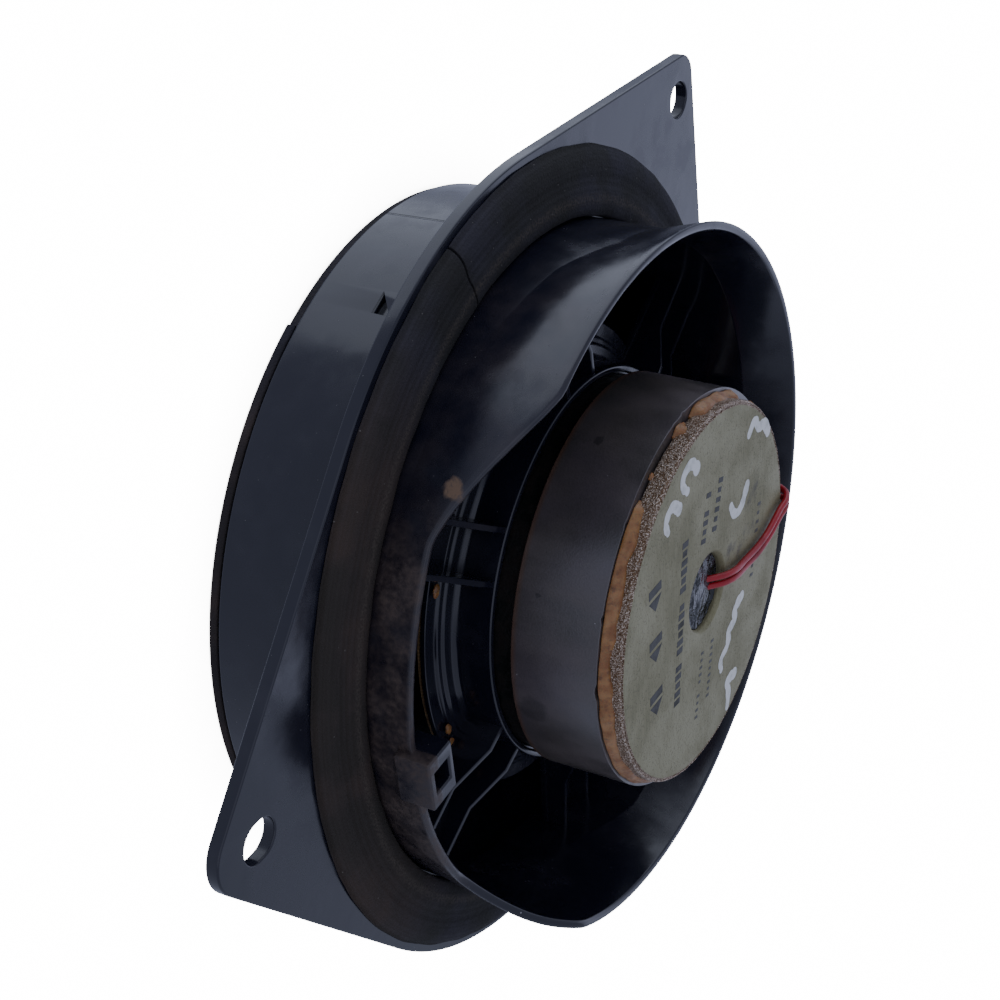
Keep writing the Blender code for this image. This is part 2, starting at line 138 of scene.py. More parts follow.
class SpeakerColours(bpy.types.PropertyGroup):
    plastic: colour_prop("Plastic", "Black moulded basket", "#13141F")
    dust: colour_prop("Dust", "Road dust lying on the plastic and the foam", "#7A6450")
    foam: colour_prop("Foam", "Gasket foam", "#2A2824")
    zinc: colour_prop("Zinc", "Dull plated back plate", "#86815F")
    ferrite: colour_prop("Ferrite", "Ground ring magnet", "#35322F")
    glue: colour_prop("Adhesive", "Amber adhesive bead", "#9A6E3C")
    red: colour_prop("Red leads", "Insulation of the tweeter leads", "#A3121F")
    floor: colour_prop("Floor", "Pale floor", "#FFFFFF")


def sizes():
    return bpy.context.scene.door_speaker_sizes


def colours():
    return bpy.context.scene.door_speaker_colours


# ---------------------------------------------------------------- shapes


def smooth(t):
    """Ease from 0 to 1."""
    t = min(max(t, 0.0), 1.0)
    return t * t * (3 - 2 * t)


def table_value(table, x):
    """Straight-line value between the (x, value) rows of a table."""
    for (x0, y0), (x1, y1) in zip(table, table[1:]):
        if x <= x1:
            return y0 + (y1 - y0) * min(max((x - x0) / (x1 - x0), 0.0), 1.0)
    return table[-1][1]


def polar(radius, degrees, z=0.0):
    angle = math.radians(degrees)
    return Vector((radius * math.cos(angle), radius * math.sin(angle), z))


def turn(degrees):
    return Matrix.Rotation(math.radians(degrees), 4, "Z")


def outline(bm, corners):
    """Closed outline in the XZ plane whose corners are rounded by their third number."""
    verts = [bm.verts.new((corner[0], 0, corner[1])) for corner in corners]
    for first, second in zip(verts, verts[1:] + verts[:1]):
        bm.edges.new((first, second))
    for vert, corner in zip(verts, corners):
        if len(corner) > 2:
            bmesh.ops.bevel(
                bm,
                geom=[vert],
                offset=corner[2],
                offset_type="OFFSET",
                affect="VERTICES",
                segments=4,
                profile=0.5,
                material=-1,
            )


def turned(corners, steps=192, start=0.0, sweep=360.0, cuts=None):
    """Body that a rounded outline sweeps round the speaker's axis. cuts subdivides its long edges."""
    bm = bmesh.new()
    outline(bm, corners)
    if cuts:
        length, count = cuts
        long_edges = [edge for edge in bm.edges if edge.calc_length() > length]
        bmesh.ops.subdivide_edges(bm, edges=long_edges, cuts=count)
    whole = sweep >= 360
    if not whole:
        bmesh.ops.edgeloop_fill(bm, edges=bm.edges[:])
    bmesh.ops.rotate(bm, cent=ORIGIN, matrix=turn(start), verts=bm.verts[:])
    bmesh.ops.spin(
        bm,
        geom=bm.verts[:] + bm.edges[:] + bm.faces[:],
        cent=ORIGIN,
        axis=UP,
        angle=math.radians(sweep),
        steps=steps,
        use_merge=whole,
    )
    bmesh.ops.remove_doubles(bm, verts=bm.verts[:], dist=WELD)
    return bm


def sheet_outline(points, thickness):
    """Corners of an even sheet along an open (radius, height) line."""
    far = []
    for i, point in enumerate(points):
        before, after = points[max(i - 1, 0)], points[min(i + 1, len(points) - 1)]
        run = Vector((after[0] - before[0], after[1] - before[1])).normalized()
        far.append((point[0] - run.y * thickness, point[1] + run.x * thickness))
    return list(points) + far[::-1]


def slab(bm, points, low, high, place=Matrix.Identity(4)):
    """Upright slab over a flat (x, y) outline."""
    face = bm.faces.new([bm.verts.new(place @ Vector((x, y, low))) for x, y in points])
    grow(bm, [face], place.to_3x3() @ Vector((0, 0, high - low)))


def pierced_slab(bm, loops, low, high):
    """Upright slab whose flat (x, y) outline is the first loop and whose holes are the others."""
    for loop in loops:
        verts = [bm.verts.new((point[0], point[1], low)) for point in loop]
        for first, second in zip(verts, verts[1:] + verts[:1]):
            bm.edges.new((first, second))
    bmesh.ops.triangle_fill(bm, use_beauty=True, use_dissolve=False, edges=bm.edges[:])
    grow(bm, bm.faces[:], (0, 0, high - low))


def grow(bm, faces, travel):
    """Extrude faces along a vector."""
    grown = bmesh.ops.extrude_face_region(bm, geom=faces)["geom"]
    moved = [item for item in grown if isinstance(item, bmesh.types.BMVert)]
    bmesh.ops.translate(bm, verts=moved, vec=travel)


def rectangle(x0, x1, y0, y1):
    return [(x0, y0), (x1, y0), (x1, y1), (x0, y1)]


def soften(bm, size, degrees=40, segments=2):
    """Round every edge sharper than the angle."""
    bmesh.ops.recalc_face_normals(bm, faces=bm.faces[:])
    limit = math.radians(degrees)
    sharp = [edge for edge in bm.edges if len(edge.link_faces) == 2 and edge.calc_face_angle() > limit]
    bmesh.ops.bevel(
        bm,
        geom=sharp,
        offset=size,
        offset_type="OFFSET",
        affect="EDGES",
        segments=segments,
        profile=0.5,
        material=-1,
        clamp_overlap=True,
    )


def repeat_round(bm, angles):
    """Copy what the bmesh holds to each angle round the axis."""
    first = bm.verts[:] + bm.edges[:] + bm.faces[:]
    for degrees in angles:
        copied = bmesh.ops.duplicate(bm, geom=first)["geom"]
        verts = [item for item in copied if isinstance(item, bmesh.types.BMVert)]
        bmesh.ops.rotate(bm, cent=ORIGIN, matrix=turn(degrees), verts=verts)
    bmesh.ops.delete(
        bm, geom=[item for item in first if isinstance(item, bmesh.types.BMVert)], context="VERTS"
    )


def merged(bm, other):
    """Add a second bmesh to the first and free it."""
    mesh = bpy.data.meshes.new("part")
    other.to_mesh(mesh)
    other.free()
    bm.from_mesh(mesh)
    bpy.data.meshes.remove(mesh)
    return bm


def finish_piece(name, bm, looks, node=None, body="frame", sharp=35):
    """Make a piece of a bmesh in millimetres about the axis. looks holds the names of its finishes."""
    bmesh.ops.remove_doubles(bm, verts=bm.verts[:], dist=WELD)
    bmesh.ops.recalc_face_normals(bm, faces=bm.faces[:])
    bm.transform(Matrix.Translation((AXIS_X * MM, 0, 0)) @ Matrix.Scale(MM, 4))
    mesh = bpy.data.meshes.new(name)
    bm.to_mesh(mesh)
    bm.free()
    for look in looks.split():
        mesh.materials.append(finish(look))
    mesh.shade_smooth()
    mesh.set_sharp_from_angle(angle=math.radians(sharp))
    piece = bpy.data.objects.new(name, mesh)
    bpy.context.scene.collection.objects.link(piece)
    shading = piece.modifiers.new("Even shading", "WEIGHTED_NORMAL")
    shading.keep_sharp = True
    if body:
        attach(piece, body)
    if node:
        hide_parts(node)
    return piece


def cut_away(piece, cutter):
    """Cut a closed helper out of a piece and remove the helper."""
    modifier = piece.modifiers.new("Cut", "BOOLEAN")
    modifier.operation = "DIFFERENCE"
    modifier.solver = "EXACT"
    modifier.object = cutter
    evaluated = piece.evaluated_get(bpy.context.evaluated_depsgraph_get())
    mesh = bpy.data.meshes.new_from_object(evaluated)
    old = piece.data
    piece.modifiers.remove(modifier)
    piece.data = mesh
    mesh.name = old.name
    bpy.data.meshes.remove(old)
    bpy.data.objects.remove(cutter)


# ---------------------------------------------------------------- finishes


def add_node(tree, kind, links=None, **settings):
    """Add a node. links maps its inputs to sockets or to plain values."""
    node = tree.nodes.new(kind)
    for name, value in settings.items():
        setattr(node, name, value)
    for key, value in (links or {}).items():
        if isinstance(value, bpy.types.NodeSocket):
            tree.links.new(value, node.inputs[key])
        else:
            node.inputs[key].default_value = value
    return node


def new_material(name, colour, roughness, metallic=0.0, **constants):
    """A Principled material with plain values; returns it with its tree and shader."""
    material = bpy.data.materials.new(name)
    material.use_nodes = True
    shader = material.node_tree.nodes["Principled BSDF"]
    shader.inputs["Base Color"].default_value = (*colour[:3], 1.0)
    shader.inputs["Roughness"].default_value = roughness
    shader.inputs["Metallic"].default_value = metallic
    for socket, value in constants.items():
        shader.inputs[socket.replace("_", " ")].default_value = value
    return material, material.node_tree, shader


def point_mm(tree):
    """Object coordinates in millimetres about the speaker's axis."""
    place = add_node(tree, "ShaderNodeTexCoord").outputs["Object"]
    return add_node(
        tree, "ShaderNodeMapping", {
            "Vector": place, "Scale": (1000, 1000, 1000), "Location": (-AXIS_X, 0, 0)
        }
    ).outputs[0]


def polar_point(tree, point):
    """Angle in degrees, radius and height sockets of a point."""
    parts = add_node(tree, "ShaderNodeSeparateXYZ", {0: point})
    angle = add_node(
        tree, "ShaderNodeMath", {0: parts.outputs[1], 1: parts.outputs[0]}, operation="ARCTAN2"
    )
    degrees = add_node(tree, "ShaderNodeMath", {0: angle.outputs[0]}, operation="DEGREES")
    flat = add_node(tree, "ShaderNodeCombineXYZ", {0: parts.outputs[0], 1: parts.outputs[1]})
    radius = add_node(tree, "ShaderNodeVectorMath", {0: flat.outputs[0]}, operation="LENGTH")
    return degrees.outputs[0], radius.outputs["Value"], parts.outputs[2]


def cloud(tree, point, pitch, detail=4.0, stretch=(1, 1, 1), low=0.35, high=0.65, rough=0.55):
    """Noise of a pitch in millimetres, as a 0 to 1 mask."""
    mapped = add_node(
        tree, "ShaderNodeMapping", {"Vector": point, "Scale": tuple(s / pitch for s in stretch)}
    )
    field = add_node(
        tree,
        "ShaderNodeTexNoise",
        {"Vector": mapped.outputs[0], "Scale": 1.0, "Detail": detail, "Roughness": rough},
    )
    return add_node(
        tree,
        "ShaderNodeMapRange",
        {"Value": field.outputs[0], "From Min": low, "From Max": high},
        interpolation_type="SMOOTHSTEP",
    ).outputs[0]


def specks(tree, point, pitch, size, share):
    """Scattered round specks: cells a pitch apart, of which a share holds a speck of that size."""
    mapped = add_node(tree, "ShaderNodeMapping", {"Vector": point, "Scale": (1 / pitch,) * 3})
    cells = add_node(tree, "ShaderNodeTexVoronoi", {"Vector": mapped.outputs[0], "Scale": 1.0})
    dot = add_node(
        tree,
        "ShaderNodeMapRange",
        {"Value": cells.outputs["Distance"], "From Min": size / pitch, "From Max": 0.4 * size / pitch},
    )
    lot = add_node(tree, "ShaderNodeSeparateColor", {0: cells.outputs["Color"]})
    chosen = add_node(tree, "ShaderNodeMath", {0: lot.outputs[0], 1: share}, operation="LESS_THAN")
    return add_node(
        tree, "ShaderNodeMath", {0: dot.outputs[0], 1: chosen.outputs[0]}, operation="MULTIPLY"
    ).outputs[0]


def within(tree, value, low, high, edge):
    """1 where a value lies between two limits, with soft edges."""
    sides = []
    for start, end in ((low - edge, low + edge), (high + edge, high - edge)):
        links = {"Value": value, "From Min": start, "From Max": end}
        sides.append(
            add_node(tree, "ShaderNodeMapRange", links, interpolation_type="SMOOTHSTEP").outputs[0]
        )
    return times(tree, *sides)


def times(tree, *masks, operation="MULTIPLY"):
    """Chain masks with one operation, keeping the result between 0 and 1."""
    result = masks[0]
    for mask in masks[1:]:
        links = {0: result, 1: mask}
        result = add_node(tree, "ShaderNodeMath", links, operation=operation, use_clamp=True).outputs[0]
    return result


def plus(tree, *masks):
    return times(tree, *masks, operation="ADD")


def mix_colour(tree, factor, first, second):
    """The first colour where the factor is 0 and the second where it is 1."""
    return add_node(tree, "ShaderNodeMix", {0: factor, 6: first, 7: second}, data_type="RGBA").outputs[2]


def spread(tree, mask, low, high):
    """Turn a 0 to 1 mask into a range of values."""
    return add_node(tree, "ShaderNodeMapRange", {"Value": mask, "To Min": low, "To Max": high}).outputs[0]


def tint(tree, colour, mask, most, code):
    """Lay an sRGB hex colour over another where a mask is, at most by a share."""
    return mix_colour(tree, spread(tree, mask, 0, most), colour, linear(code))


def blotch(tree, point, centre, size, ragged=0.35):
    """A ragged spot of a size in millimetres at a place."""
    away = add_node(tree, "ShaderNodeVectorMath", {0: point, 1: tuple(centre)}, operation="DISTANCE")
    field = add_node(tree, "ShaderNodeTexNoise", {"Vector": point, "Scale": 1.6 / size, "Detail": 5.0})
    shift = add_node(
        tree, "ShaderNodeMapRange", {"Value": field.outputs[0], "To Min": -ragged, "To Max": ragged}
    )
    reach = add_node(tree, "ShaderNodeMath", {0: shift.outputs[0], 1: 2.0 * size}, operation="MULTIPLY")
    grown = add_node(
        tree, "ShaderNodeMath", {0: away.outputs["Value"], 1: reach.outputs[0]}, operation="ADD"
    )
    return add_node(
        tree,
        "ShaderNodeMapRange",
        {"Value": grown.outputs[0], "From Min": size, "From Max": 0.6 * size},
        interpolation_type="SMOOTHSTEP",
    ).outputs[0]


def raise_bumps(tree, shader, *layers):
    """Stack (height socket, depth in millimetres) bumps into the shader's normal."""
    normal = None
    for height, depth in layers:
        links = {"Height": height, "Strength": 1.0, "Distance": depth * MM}
        if normal:
            links["Normal"] = normal
        normal = add_node(tree, "ShaderNodeBump", links).outputs[0]
    tree.links.new(normal, shader.inputs["Normal"])


def set_colour(tree, shader, colour):
    tree.links.new(colour, shader.inputs["Base Color"])


def set_roughness(tree, shader, roughness):
    tree.links.new(roughness, shader.inputs["Roughness"])


def black_plastic(name, rust_dust=False, painted_crease_shadow=False):
    """Black ABS moulded in a polished tool: glossy, faintly wavy, with handling smears."""
    material, tree, shader = new_material(name, colours().plastic, 0.2, IOR=1.53)
    point = point_mm(tree)
    smear = cloud(tree, point, 22, detail=3, low=0.38, high=0.68)
    film = cloud(tree, point, 6, detail=4, low=0.3, high=0.8)
    # Dust grains are drawn at twice their real size so that they show.
    grains = specks(tree, point, 1.5, 0.13, 0.16)
    lint = specks(tree, point, 9.0, 0.26, 0.1)
    dust = (*colours().dust, 1.0)
    haze = times(tree, smear, film)
    colour = tint(tree, (*colours().plastic, 1.0), haze, 0.05, "#6F6C72")
    colour = tint(tree, colour, grains, 0.35, "#8F8A84")
    colour = tint(tree, colour, lint, 0.7, "#C9C7C4")
    rough = spread(tree, plus(tree, haze, spread(tree, smear, 0, 0.35)), 0.14, 0.34)
    bumps = [(smear, 0.05), (grains, 0.04)]
    degrees, radius, z = polar_point(tree, point)
    if rust_dust:
        # Road dust has dried on the low rim beside the clip and thins out along the wall.
        side = within(tree, degrees, -34, 30, 9)
        rim = within(tree, z, 36, 60, 3)
        broken = cloud(tree, point, 7, detail=5, low=0.22, high=0.75)
        fine = cloud(tree, point, 1.2, detail=3, low=0.2, high=0.8)
        crust = times(tree, side, rim, broken, spread(tree, fine, 0.35, 1.0))
        outside = within(tree, radius, 76.0, 90, 0.4)
        crust = times(tree, crust, outside)
        spot = blotch(tree, point, polar(77.6, -41.2, 49.3), 2.8, 0.2)
        spot = times(tree, spot, spread(tree, cloud(tree, point, 0.7, low=0.25, high=0.5), 0.55, 1.0))
        streaks = times(
            tree, within(tree, degrees, -82, -36, 8), cloud(tree, point, 9.0, detail=3, low=0.3, high=0.8)
        )
        colour = tint(tree, colour, streaks, 0.10, "#7E7068")
        colour = mix_colour(tree, spread(tree, crust, 0, 0.42), colour, dust)
        colour = tint(tree, colour, spot, 0.7, "#80664C")
        cover = plus(tree, crust, spot)
        rough = add_node(tree, "ShaderNodeMix", {0: cover, 2: rough, 3: 0.85}).outputs[0]
        bumps.append((cover, 0.04))
    if painted_crease_shadow:
        # Painted shadow: a near-black line where the shade of a small step across the collar falls, over a
        # shallow bumped groove.
        line = times(tree, within(tree, degrees, -87.3, -86.9, 0.12), within(tree, z, 1, 30, 0.5))
        colour = mix_colour(tree, line, colour, linear("#050506"))
        bumps.append((line, -0.15))
    set_colour(tree, shader, colour)
    set_roughness(tree, shader, rough)
    raise_bumps(tree, shader, *bumps)
    return material


def dusty_foam(name, tone, ridge):
    """Closed-cell EPDM foam strip, skived and dusty: dead matt, with open cells half a millimetre wide."""
    material, tree, shader = new_material(name, linear(tone), 0.95, IOR=1.45, Specular_IOR_Level=0.25)
    point = point_mm(tree)
    degrees, radius, z = polar_point(tree, point)
    cells = cloud(tree, point, 0.55, detail=3, low=0.3, high=0.7)
    drift = cloud(tree, point, 16, detail=4, low=0.35, high=0.7)
    drag = add_node(
        tree, "ShaderNodeCombineXYZ", {0: radius, 1: spread(tree, degrees, 0, 0.02), 2: z}
    ).outputs[0]
    lines = cloud(tree, drag, 0.7, detail=3, stretch=(1, 0.2, 1), low=0.35, high=0.7)
    # Paler along the ridge of the profile, over the cells.
    worn = within(tree, radius, ridge - 0.9, ridge + 0.9, 0.9)
    brown = times(tree, within(tree, degrees, -48, 40, 14), spread(tree, drift, 0.3, 1.0))
    colour = mix_colour(tree, spread(tree, drift, 0.0, 0.7), linear(tone), linear("#3A3840"))
    colour = tint(tree, colour, lines, 0.35, "#15140F")
    colour = tint(tree, colour, brown, 0.5, "#4A3A26")
    colour = tint(tree, colour, times(tree, worn, cells), 0.5, "#5A5248")
    colour = tint(tree, colour, specks(tree, point, 2.2, 0.2, 0.2), 0.5, "#8C8880")
    set_colour(tree, shader, colour)
    raise_bumps(tree, shader, (drift, 0.25), (cells, 0.12))
    return material


def ground_ferrite():
    """Sintered ferrite, ground: satin, dark mauve-grey, with finger smears and oil stains."""
    material, tree, shader = new_material("sintered ferrite ground", colours().ferrite, 0.36, IOR=1.85)
    point = point_mm(tree)
    z = polar_point(tree, point)[2]
    broad = cloud(tree, point, 22, detail=2, low=0.3, high=0.7)
    smear = cloud(tree, point, 11, detail=3, stretch=(1, 1, 0.6), low=0.3, high=0.8)
    grit = cloud(tree, point, 0.4, detail=2, low=0.3, high=0.7)
    colour = mix_colour(tree, broad, (*colours().ferrite, 1.0), linear("#463F42"))
    colour = tint(tree, colour, smear, 0.4, "#5B4E48")
    colour = tint(tree, colour, grit, 0.12, "#6A625E")
    rusty = within(tree, z, 49, 52.2, 0.7)
    colour = tint(tree, colour, rusty, 0.55, "#5A3B22")
    stains = plus(
        tree,
        times(tree, blotch(tree, point, polar(45, 10.8, 55.9), 4.2, 0.2), 0.75),
        blotch(tree, point, polar(45, -24.3, 56.4), 0.7),
        blotch(tree, point, polar(45, -69.7, 58.2), 1.3),
    )
    colour = tint(tree, colour, stains, 0.6, "#141214")
    white = specks(tree, point, 3.2, 0.14, 0.14)
    colour = tint(tree, colour, white, 0.8, "#B8B4B0")
    set_colour(tree, shader, colour)
    set_roughness(tree, shader, spread(tree, smear, 0.28, 0.46))
    raise_bumps(tree, shader, (grit, 0.01))
    return material


def dull_zinc():
    """Old zinc plating on pressed steel: olive grey, satin, with rolling marks and stains."""
    material, tree, shader = new_material("pressed steel zinc plated", colours().zinc, 0.6, 0.35)
    point = point_mm(tree)
    rolling = cloud(tree, point, 1.4, detail=3, stretch=(3.5, 0.25, 1), low=0.3, high=0.7)
    patina = cloud(tree, point, 14, detail=5, low=0.35, high=0.7)
    pits = cloud(tree, point, 0.5, detail=3, low=0.52, high=0.7)
    colour = tint(tree, (*colours().zinc, 1.0), patina, 0.5, "#6A664C")
    colour = tint(tree, colour, rolling, 0.22, "#A5A080")
    colour = tint(tree, colour, pits, 0.3, "#4C4836")
    smudge = times(tree, cloud(tree, point, 5, detail=6, low=0.5, high=0.72), blotch(
        tree, point, (-22, -4, PLATE_TOP), 14, 0.3
    ))
    colour = tint(tree, colour, smudge, 0.6, "#3F3B36")
    set_colour(tree, shader, colour)
    set_roughness(tree, shader, spread(tree, plus(tree, patina, times(tree, pits, 0.5)), 0.5, 0.68))
    raise_bumps(tree, shader, (patina, 0.02), (pits, 0.05))
    return material


def sheared_edge():
    """Sheared edge of the back plate, varnished over torn grains: coarse copper-grey glitter."""
    material, tree, shader = new_material("sheared steel edge varnished", linear("#8A6E52"), 0.3, 0.85)
    point = point_mm(tree)
    grains = add_node(tree, "ShaderNodeTexVoronoi", {"Vector": point, "Scale": 4.8})
    tone = add_node(tree, "ShaderNodeSeparateColor", {0: grains.outputs["Color"]})
    torn = cloud(tree, point, 0.5, detail=4, low=0.3, high=0.7, rough=0.7)
    glint = add_node(
        tree, "ShaderNodeMapRange", {"Value": tone.outputs[0], "From Min": 0.45, "From Max": 1.0}
    )
    colour = mix_colour(tree, glint.outputs[0], linear("#7C6248"), linear("#FFF0DC"))
    colour = tint(tree, colour, torn, 0.35, "#7A6048")
    set_colour(tree, shader, colour)
    set_roughness(tree, shader, spread(tree, torn, 0.22, 0.45))
    raise_bumps(tree, shader, (grains.outputs["Distance"], 0.3), (torn, 0.1))
    return material


def rusty_steel():
    """Rolled steel edge of the front plate, oiled and rusting: near black with brown patches."""
    material, tree, shader = new_material("rolled steel rusting", linear("#4A3A2E"), 0.55, 0.6)
    point = point_mm(tree)
    rust = cloud(tree, point, 5, detail=7, low=0.4, high=0.6, rough=0.65)
    fine = cloud(tree, point, 0.7, detail=3, low=0.3, high=0.7)
    colour = mix_colour(tree, rust, linear("#1C1E1C"), linear("#1E1510"))
    colour = tint(tree, colour, fine, 0.5, "#0E0C0B")
    set_colour(tree, shader, colour)
    set_roughness(tree, shader, spread(tree, rust, 0.4, 0.7))
    raise_bumps(tree, shader, (rust, 0.05), (fine, 0.03))
    return material


def cured_adhesive():
    """Squeezed-out epoxy bead, cured: amber, waxy and slightly clear, dusty on top."""
    clear = {"Subsurface_Weight": 0.25, "Subsurface_Scale": 0.0012}
    material, tree, shader = new_material("epoxy adhesive cured", colours().glue, 0.42, IOR=1.52, **clear)
    point = point_mm(tree)
    flow = cloud(tree, point, 3.0, detail=5, low=0.35, high=0.7)
    dirt = cloud(tree, point, 1.1, detail=5, low=0.5, high=0.75)
    colour = mix_colour(tree, flow, (*colours().glue, 1.0), linear("#7E5128"))
    colour = tint(tree, colour, dirt, 0.55, "#3A281A")
    set_colour(tree, shader, colour)
    set_roughness(tree, shader, spread(tree, flow, 0.35, 0.6))
    raise_bumps(tree, shader, (flow, 0.08), (dirt, 0.03))
    return material


def black_sealant():
    """Black hot-melt plug in the vent: very glossy with soft ripples."""
    material, tree, shader = new_material("hot melt sealant", linear("#1A1C20"), 0.12, IOR=1.5)
    point = point_mm(tree)
    ripple = cloud(tree, point, 3.5, detail=3, low=0.3, high=0.7)
    set_roughness(tree, shader, spread(tree, ripple, 0.06, 0.2))
    raise_bumps(tree, shader, (ripple, 0.35))
    return material


def pressed_paper():
    """Pressed and dyed paper pulp: dead matt charcoal with short pale fibres."""
    material, tree, shader = new_material(
        "paper pulp pressed", linear("#1B1B1E"), 0.85, Specular_IOR_Level=0.3
    )
    point = point_mm(tree)
    fibres = cloud(tree, point, 0.9, detail=6, stretch=(1, 1, 0.3), low=0.45, high=0.75, rough=0.75)
    felt = cloud(tree, point, 3.5, detail=5, low=0.3, high=0.7)
    colour = tint(tree, linear("#17171A"), fibres, 0.4, "#4A4948")
    colour = tint(tree, colour, felt, 0.3, "#0E0E10")
    set_colour(tree, shader, colour)
    raise_bumps(tree, shader, (felt, 0.12), (fibres, 0.06))
    return material


def rolled_rubber():
    """Moulded butyl rubber: satin black with a bloom of pale wax."""
    material, tree, shader = new_material("butyl rubber moulded", linear("#121213"), 0.5, IOR=1.52)
    point = point_mm(tree)
    bloom = cloud(tree, point, 11, detail=5, low=0.4, high=0.75)
    skin = cloud(tree, point, 0.6, detail=3, low=0.3, high=0.7)
    colour = tint(tree, linear("#101011"), bloom, 0.25, "#4B4B4C")
    set_colour(tree, shader, colour)
    set_roughness(tree, shader, spread(tree, bloom, 0.42, 0.62))
    raise_bumps(tree, shader, (skin, 0.02))
    return material


def woven_cloth(name, warp, gap, pitch, roughness):
    """Plain-woven cloth soaked in resin; the threads cross a pitch apart."""
    material, tree, shader = new_material(name, linear(warp), roughness, Sheen_Weight=0.15)
    point = point_mm(tree)
    parts = add_node(tree, "ShaderNodeSeparateXYZ", {0: point})
    waves = []
    for axis in (0, 1):
        phase = add_node(
            tree, "ShaderNodeMath", {0: parts.outputs[axis], 1: 2 * math.pi / pitch}, operation="MULTIPLY"
        )
        wave = add_node(tree, "ShaderNodeMath", {0: phase.outputs[0]}, operation="SINE")
        waves.append(spread(tree, spread(tree, wave.outputs[0], 0.5, 1.0), 0.0, 1.0))
    weave = times(tree, *waves)
    soak = cloud(tree, point, 6, detail=4, low=0.3, high=0.7)
    colour = mix_colour(tree, weave, linear(gap), linear(warp))
    colour = mix_colour(tree, spread(tree, soak, 0, 0.3), colour, linear(gap))
    set_colour(tree, shader, colour)
    raise_bumps(tree, shader, (weave, 0.12))
    return material


def worn_metal(name, colour, dark, roughness, pitch=1.0):
    """Metal with handling marks: even tone, brighter where rubbed."""
    material, tree, shader = new_material(name, linear(colour), roughness, 1.0)
    point = point_mm(tree)
    marks = cloud(tree, point, pitch, detail=5, low=0.4, high=0.7)
    broad = cloud(tree, point, 6 * pitch, detail=3, low=0.3, high=0.7)
    set_colour(tree, shader, mix_colour(tree, spread(tree, marks, 0, 0.6), linear(colour), linear(dark)))
    set_roughness(tree, shader, spread(tree, broad, roughness - 0.08, roughness + 0.14))
    raise_bumps(tree, shader, (marks, 0.015))
    return material


def skinned_plastic(name, colour, dark, roughness, pitch=1.2, **constants):
    """Small moulded, extruded or painted plastic surface with a fine uneven skin."""
    material, tree, shader = new_material(name, linear(colour), roughness, **constants)
    point = point_mm(tree)
    skin = cloud(tree, point, pitch, detail=4, low=0.35, high=0.7)
    wear = cloud(tree, point, 6 * pitch, detail=5, low=0.45, high=0.75)
    tone = mix_colour(tree, spread(tree, wear, 0, 0.5), linear(colour), linear(dark))
    set_colour(tree, shader, mix_colour(tree, spread(tree, skin, 0, 0.15), tone, linear(dark)))
    set_roughness(tree, shader, spread(tree, wear, roughness - 0.05, min(roughness + 0.18, 1.0)))
    raise_bumps(tree, shader, (skin, 0.02))
    return material


def wound_copper():
    """Enamelled copper wire wound close: turns 0.3 mm apart along the former."""
    material, tree, shader = new_material("copper wire enamelled wound", linear("#B4622D"), 0.3, 0.95)
    point = point_mm(tree)
    parts = add_node(tree, "ShaderNodeSeparateXYZ", {0: point})
    phase = add_node(
        tree, "ShaderNodeMath", {0: parts.outputs[2], 1: 2 * math.pi / 0.3}, operation="MULTIPLY"
    )
    wave = add_node(tree, "ShaderNodeMath", {0: phase.outputs[0]}, operation="SINE")
    turns = spread(tree, wave.outputs[0], 0.5, 1.0)
    set_colour(tree, shader, mix_colour(tree, turns, linear("#7A3814"), linear("#C8783C")))
    raise_bumps(tree, shader, (turns, 0.08))
    return material


FINISHES = {
    # The basket's plastic carries a painted shadow line across the collar.
    "basket": lambda: black_plastic("ABS moulded gloss", painted_crease_shadow=True),
    "hood": lambda: black_plastic("ABS moulded gloss dusty", rust_dust=True),
    "foam": lambda: dusty_foam("EPDM foam skived", "#2F2E2C", 81.0),
    "strip": lambda: dusty_foam("PE foam strip cut", "#26262A", 77.5),
    "zinc": dull_zinc,
    "sheared": sheared_edge,
    "rusty": rusty_steel,
    "ferrite": ground_ferrite,
    "glue": cured_adhesive,
    "sealant": black_sealant,
    "paper": pressed_paper,
    "rubber": rolled_rubber,
    "spider": lambda: woven_cloth("cotton cloth resin soaked", "#9A7A4A", "#5A4222", 0.9, 0.85),
    "silk": lambda: woven_cloth("silk cloth coated", "#26262A", "#121214", 0.4, 0.5),
    "braid": lambda: woven_cloth("tinsel braid woven", "#A99A82", "#54483A", 0.35, 0.6),
    "copper": wound_copper,
    "former": lambda: skinned_plastic("polyimide film wound", "#A8742A", "#7A4E18", 0.4),
    "nickel": lambda: worn_metal("neodymium nickel plated", "#B9B9BC", "#7D7D80", 0.28),
    "brass": lambda: worn_metal("brass stamped tin plated", "#B8B2A0", "#7E7664", 0.38),
    "board": lambda: skinned_plastic("phenolic paper board punched", "#6E4A2C", "#3E2816", 0.7, 0.8),
    "sleeve": lambda: skinned_plastic("PVC sleeve shrunk", "#1B2440", "#0E1224", 0.35),
    "red": lambda: skinned_plastic(
        "PVC insulation extruded", "#A3121F", "#5E0A12", 0.38, 2.0, Specular_IOR_Level=0.5
    ),
    "ink": lambda: skinned_plastic("stamp ink dried", "#26251F", "#3A382F", 0.6, 0.5),
    "pale_ink": lambda: skinned_plastic("stamp ink worn pale", "#3F3E35", "#55544A", 0.6, 0.4),
    "paint": lambda: skinned_plastic("enamel paint brushed", "#D8D8D2", "#A8A89E", 0.5, 0.4),
    "tweeter": lambda: skinned_plastic("ABS moulded satin", "#101013", "#1E1E22", 0.42),
}


def finish(name):
    """The material of that name, made once."""
    scene = bpy.context.scene
    if name not in scene:
        scene[name] = FINISHES[name]().name
    return bpy.data.materials[scene[name]]


# ---------------------------------------------------------------- basket

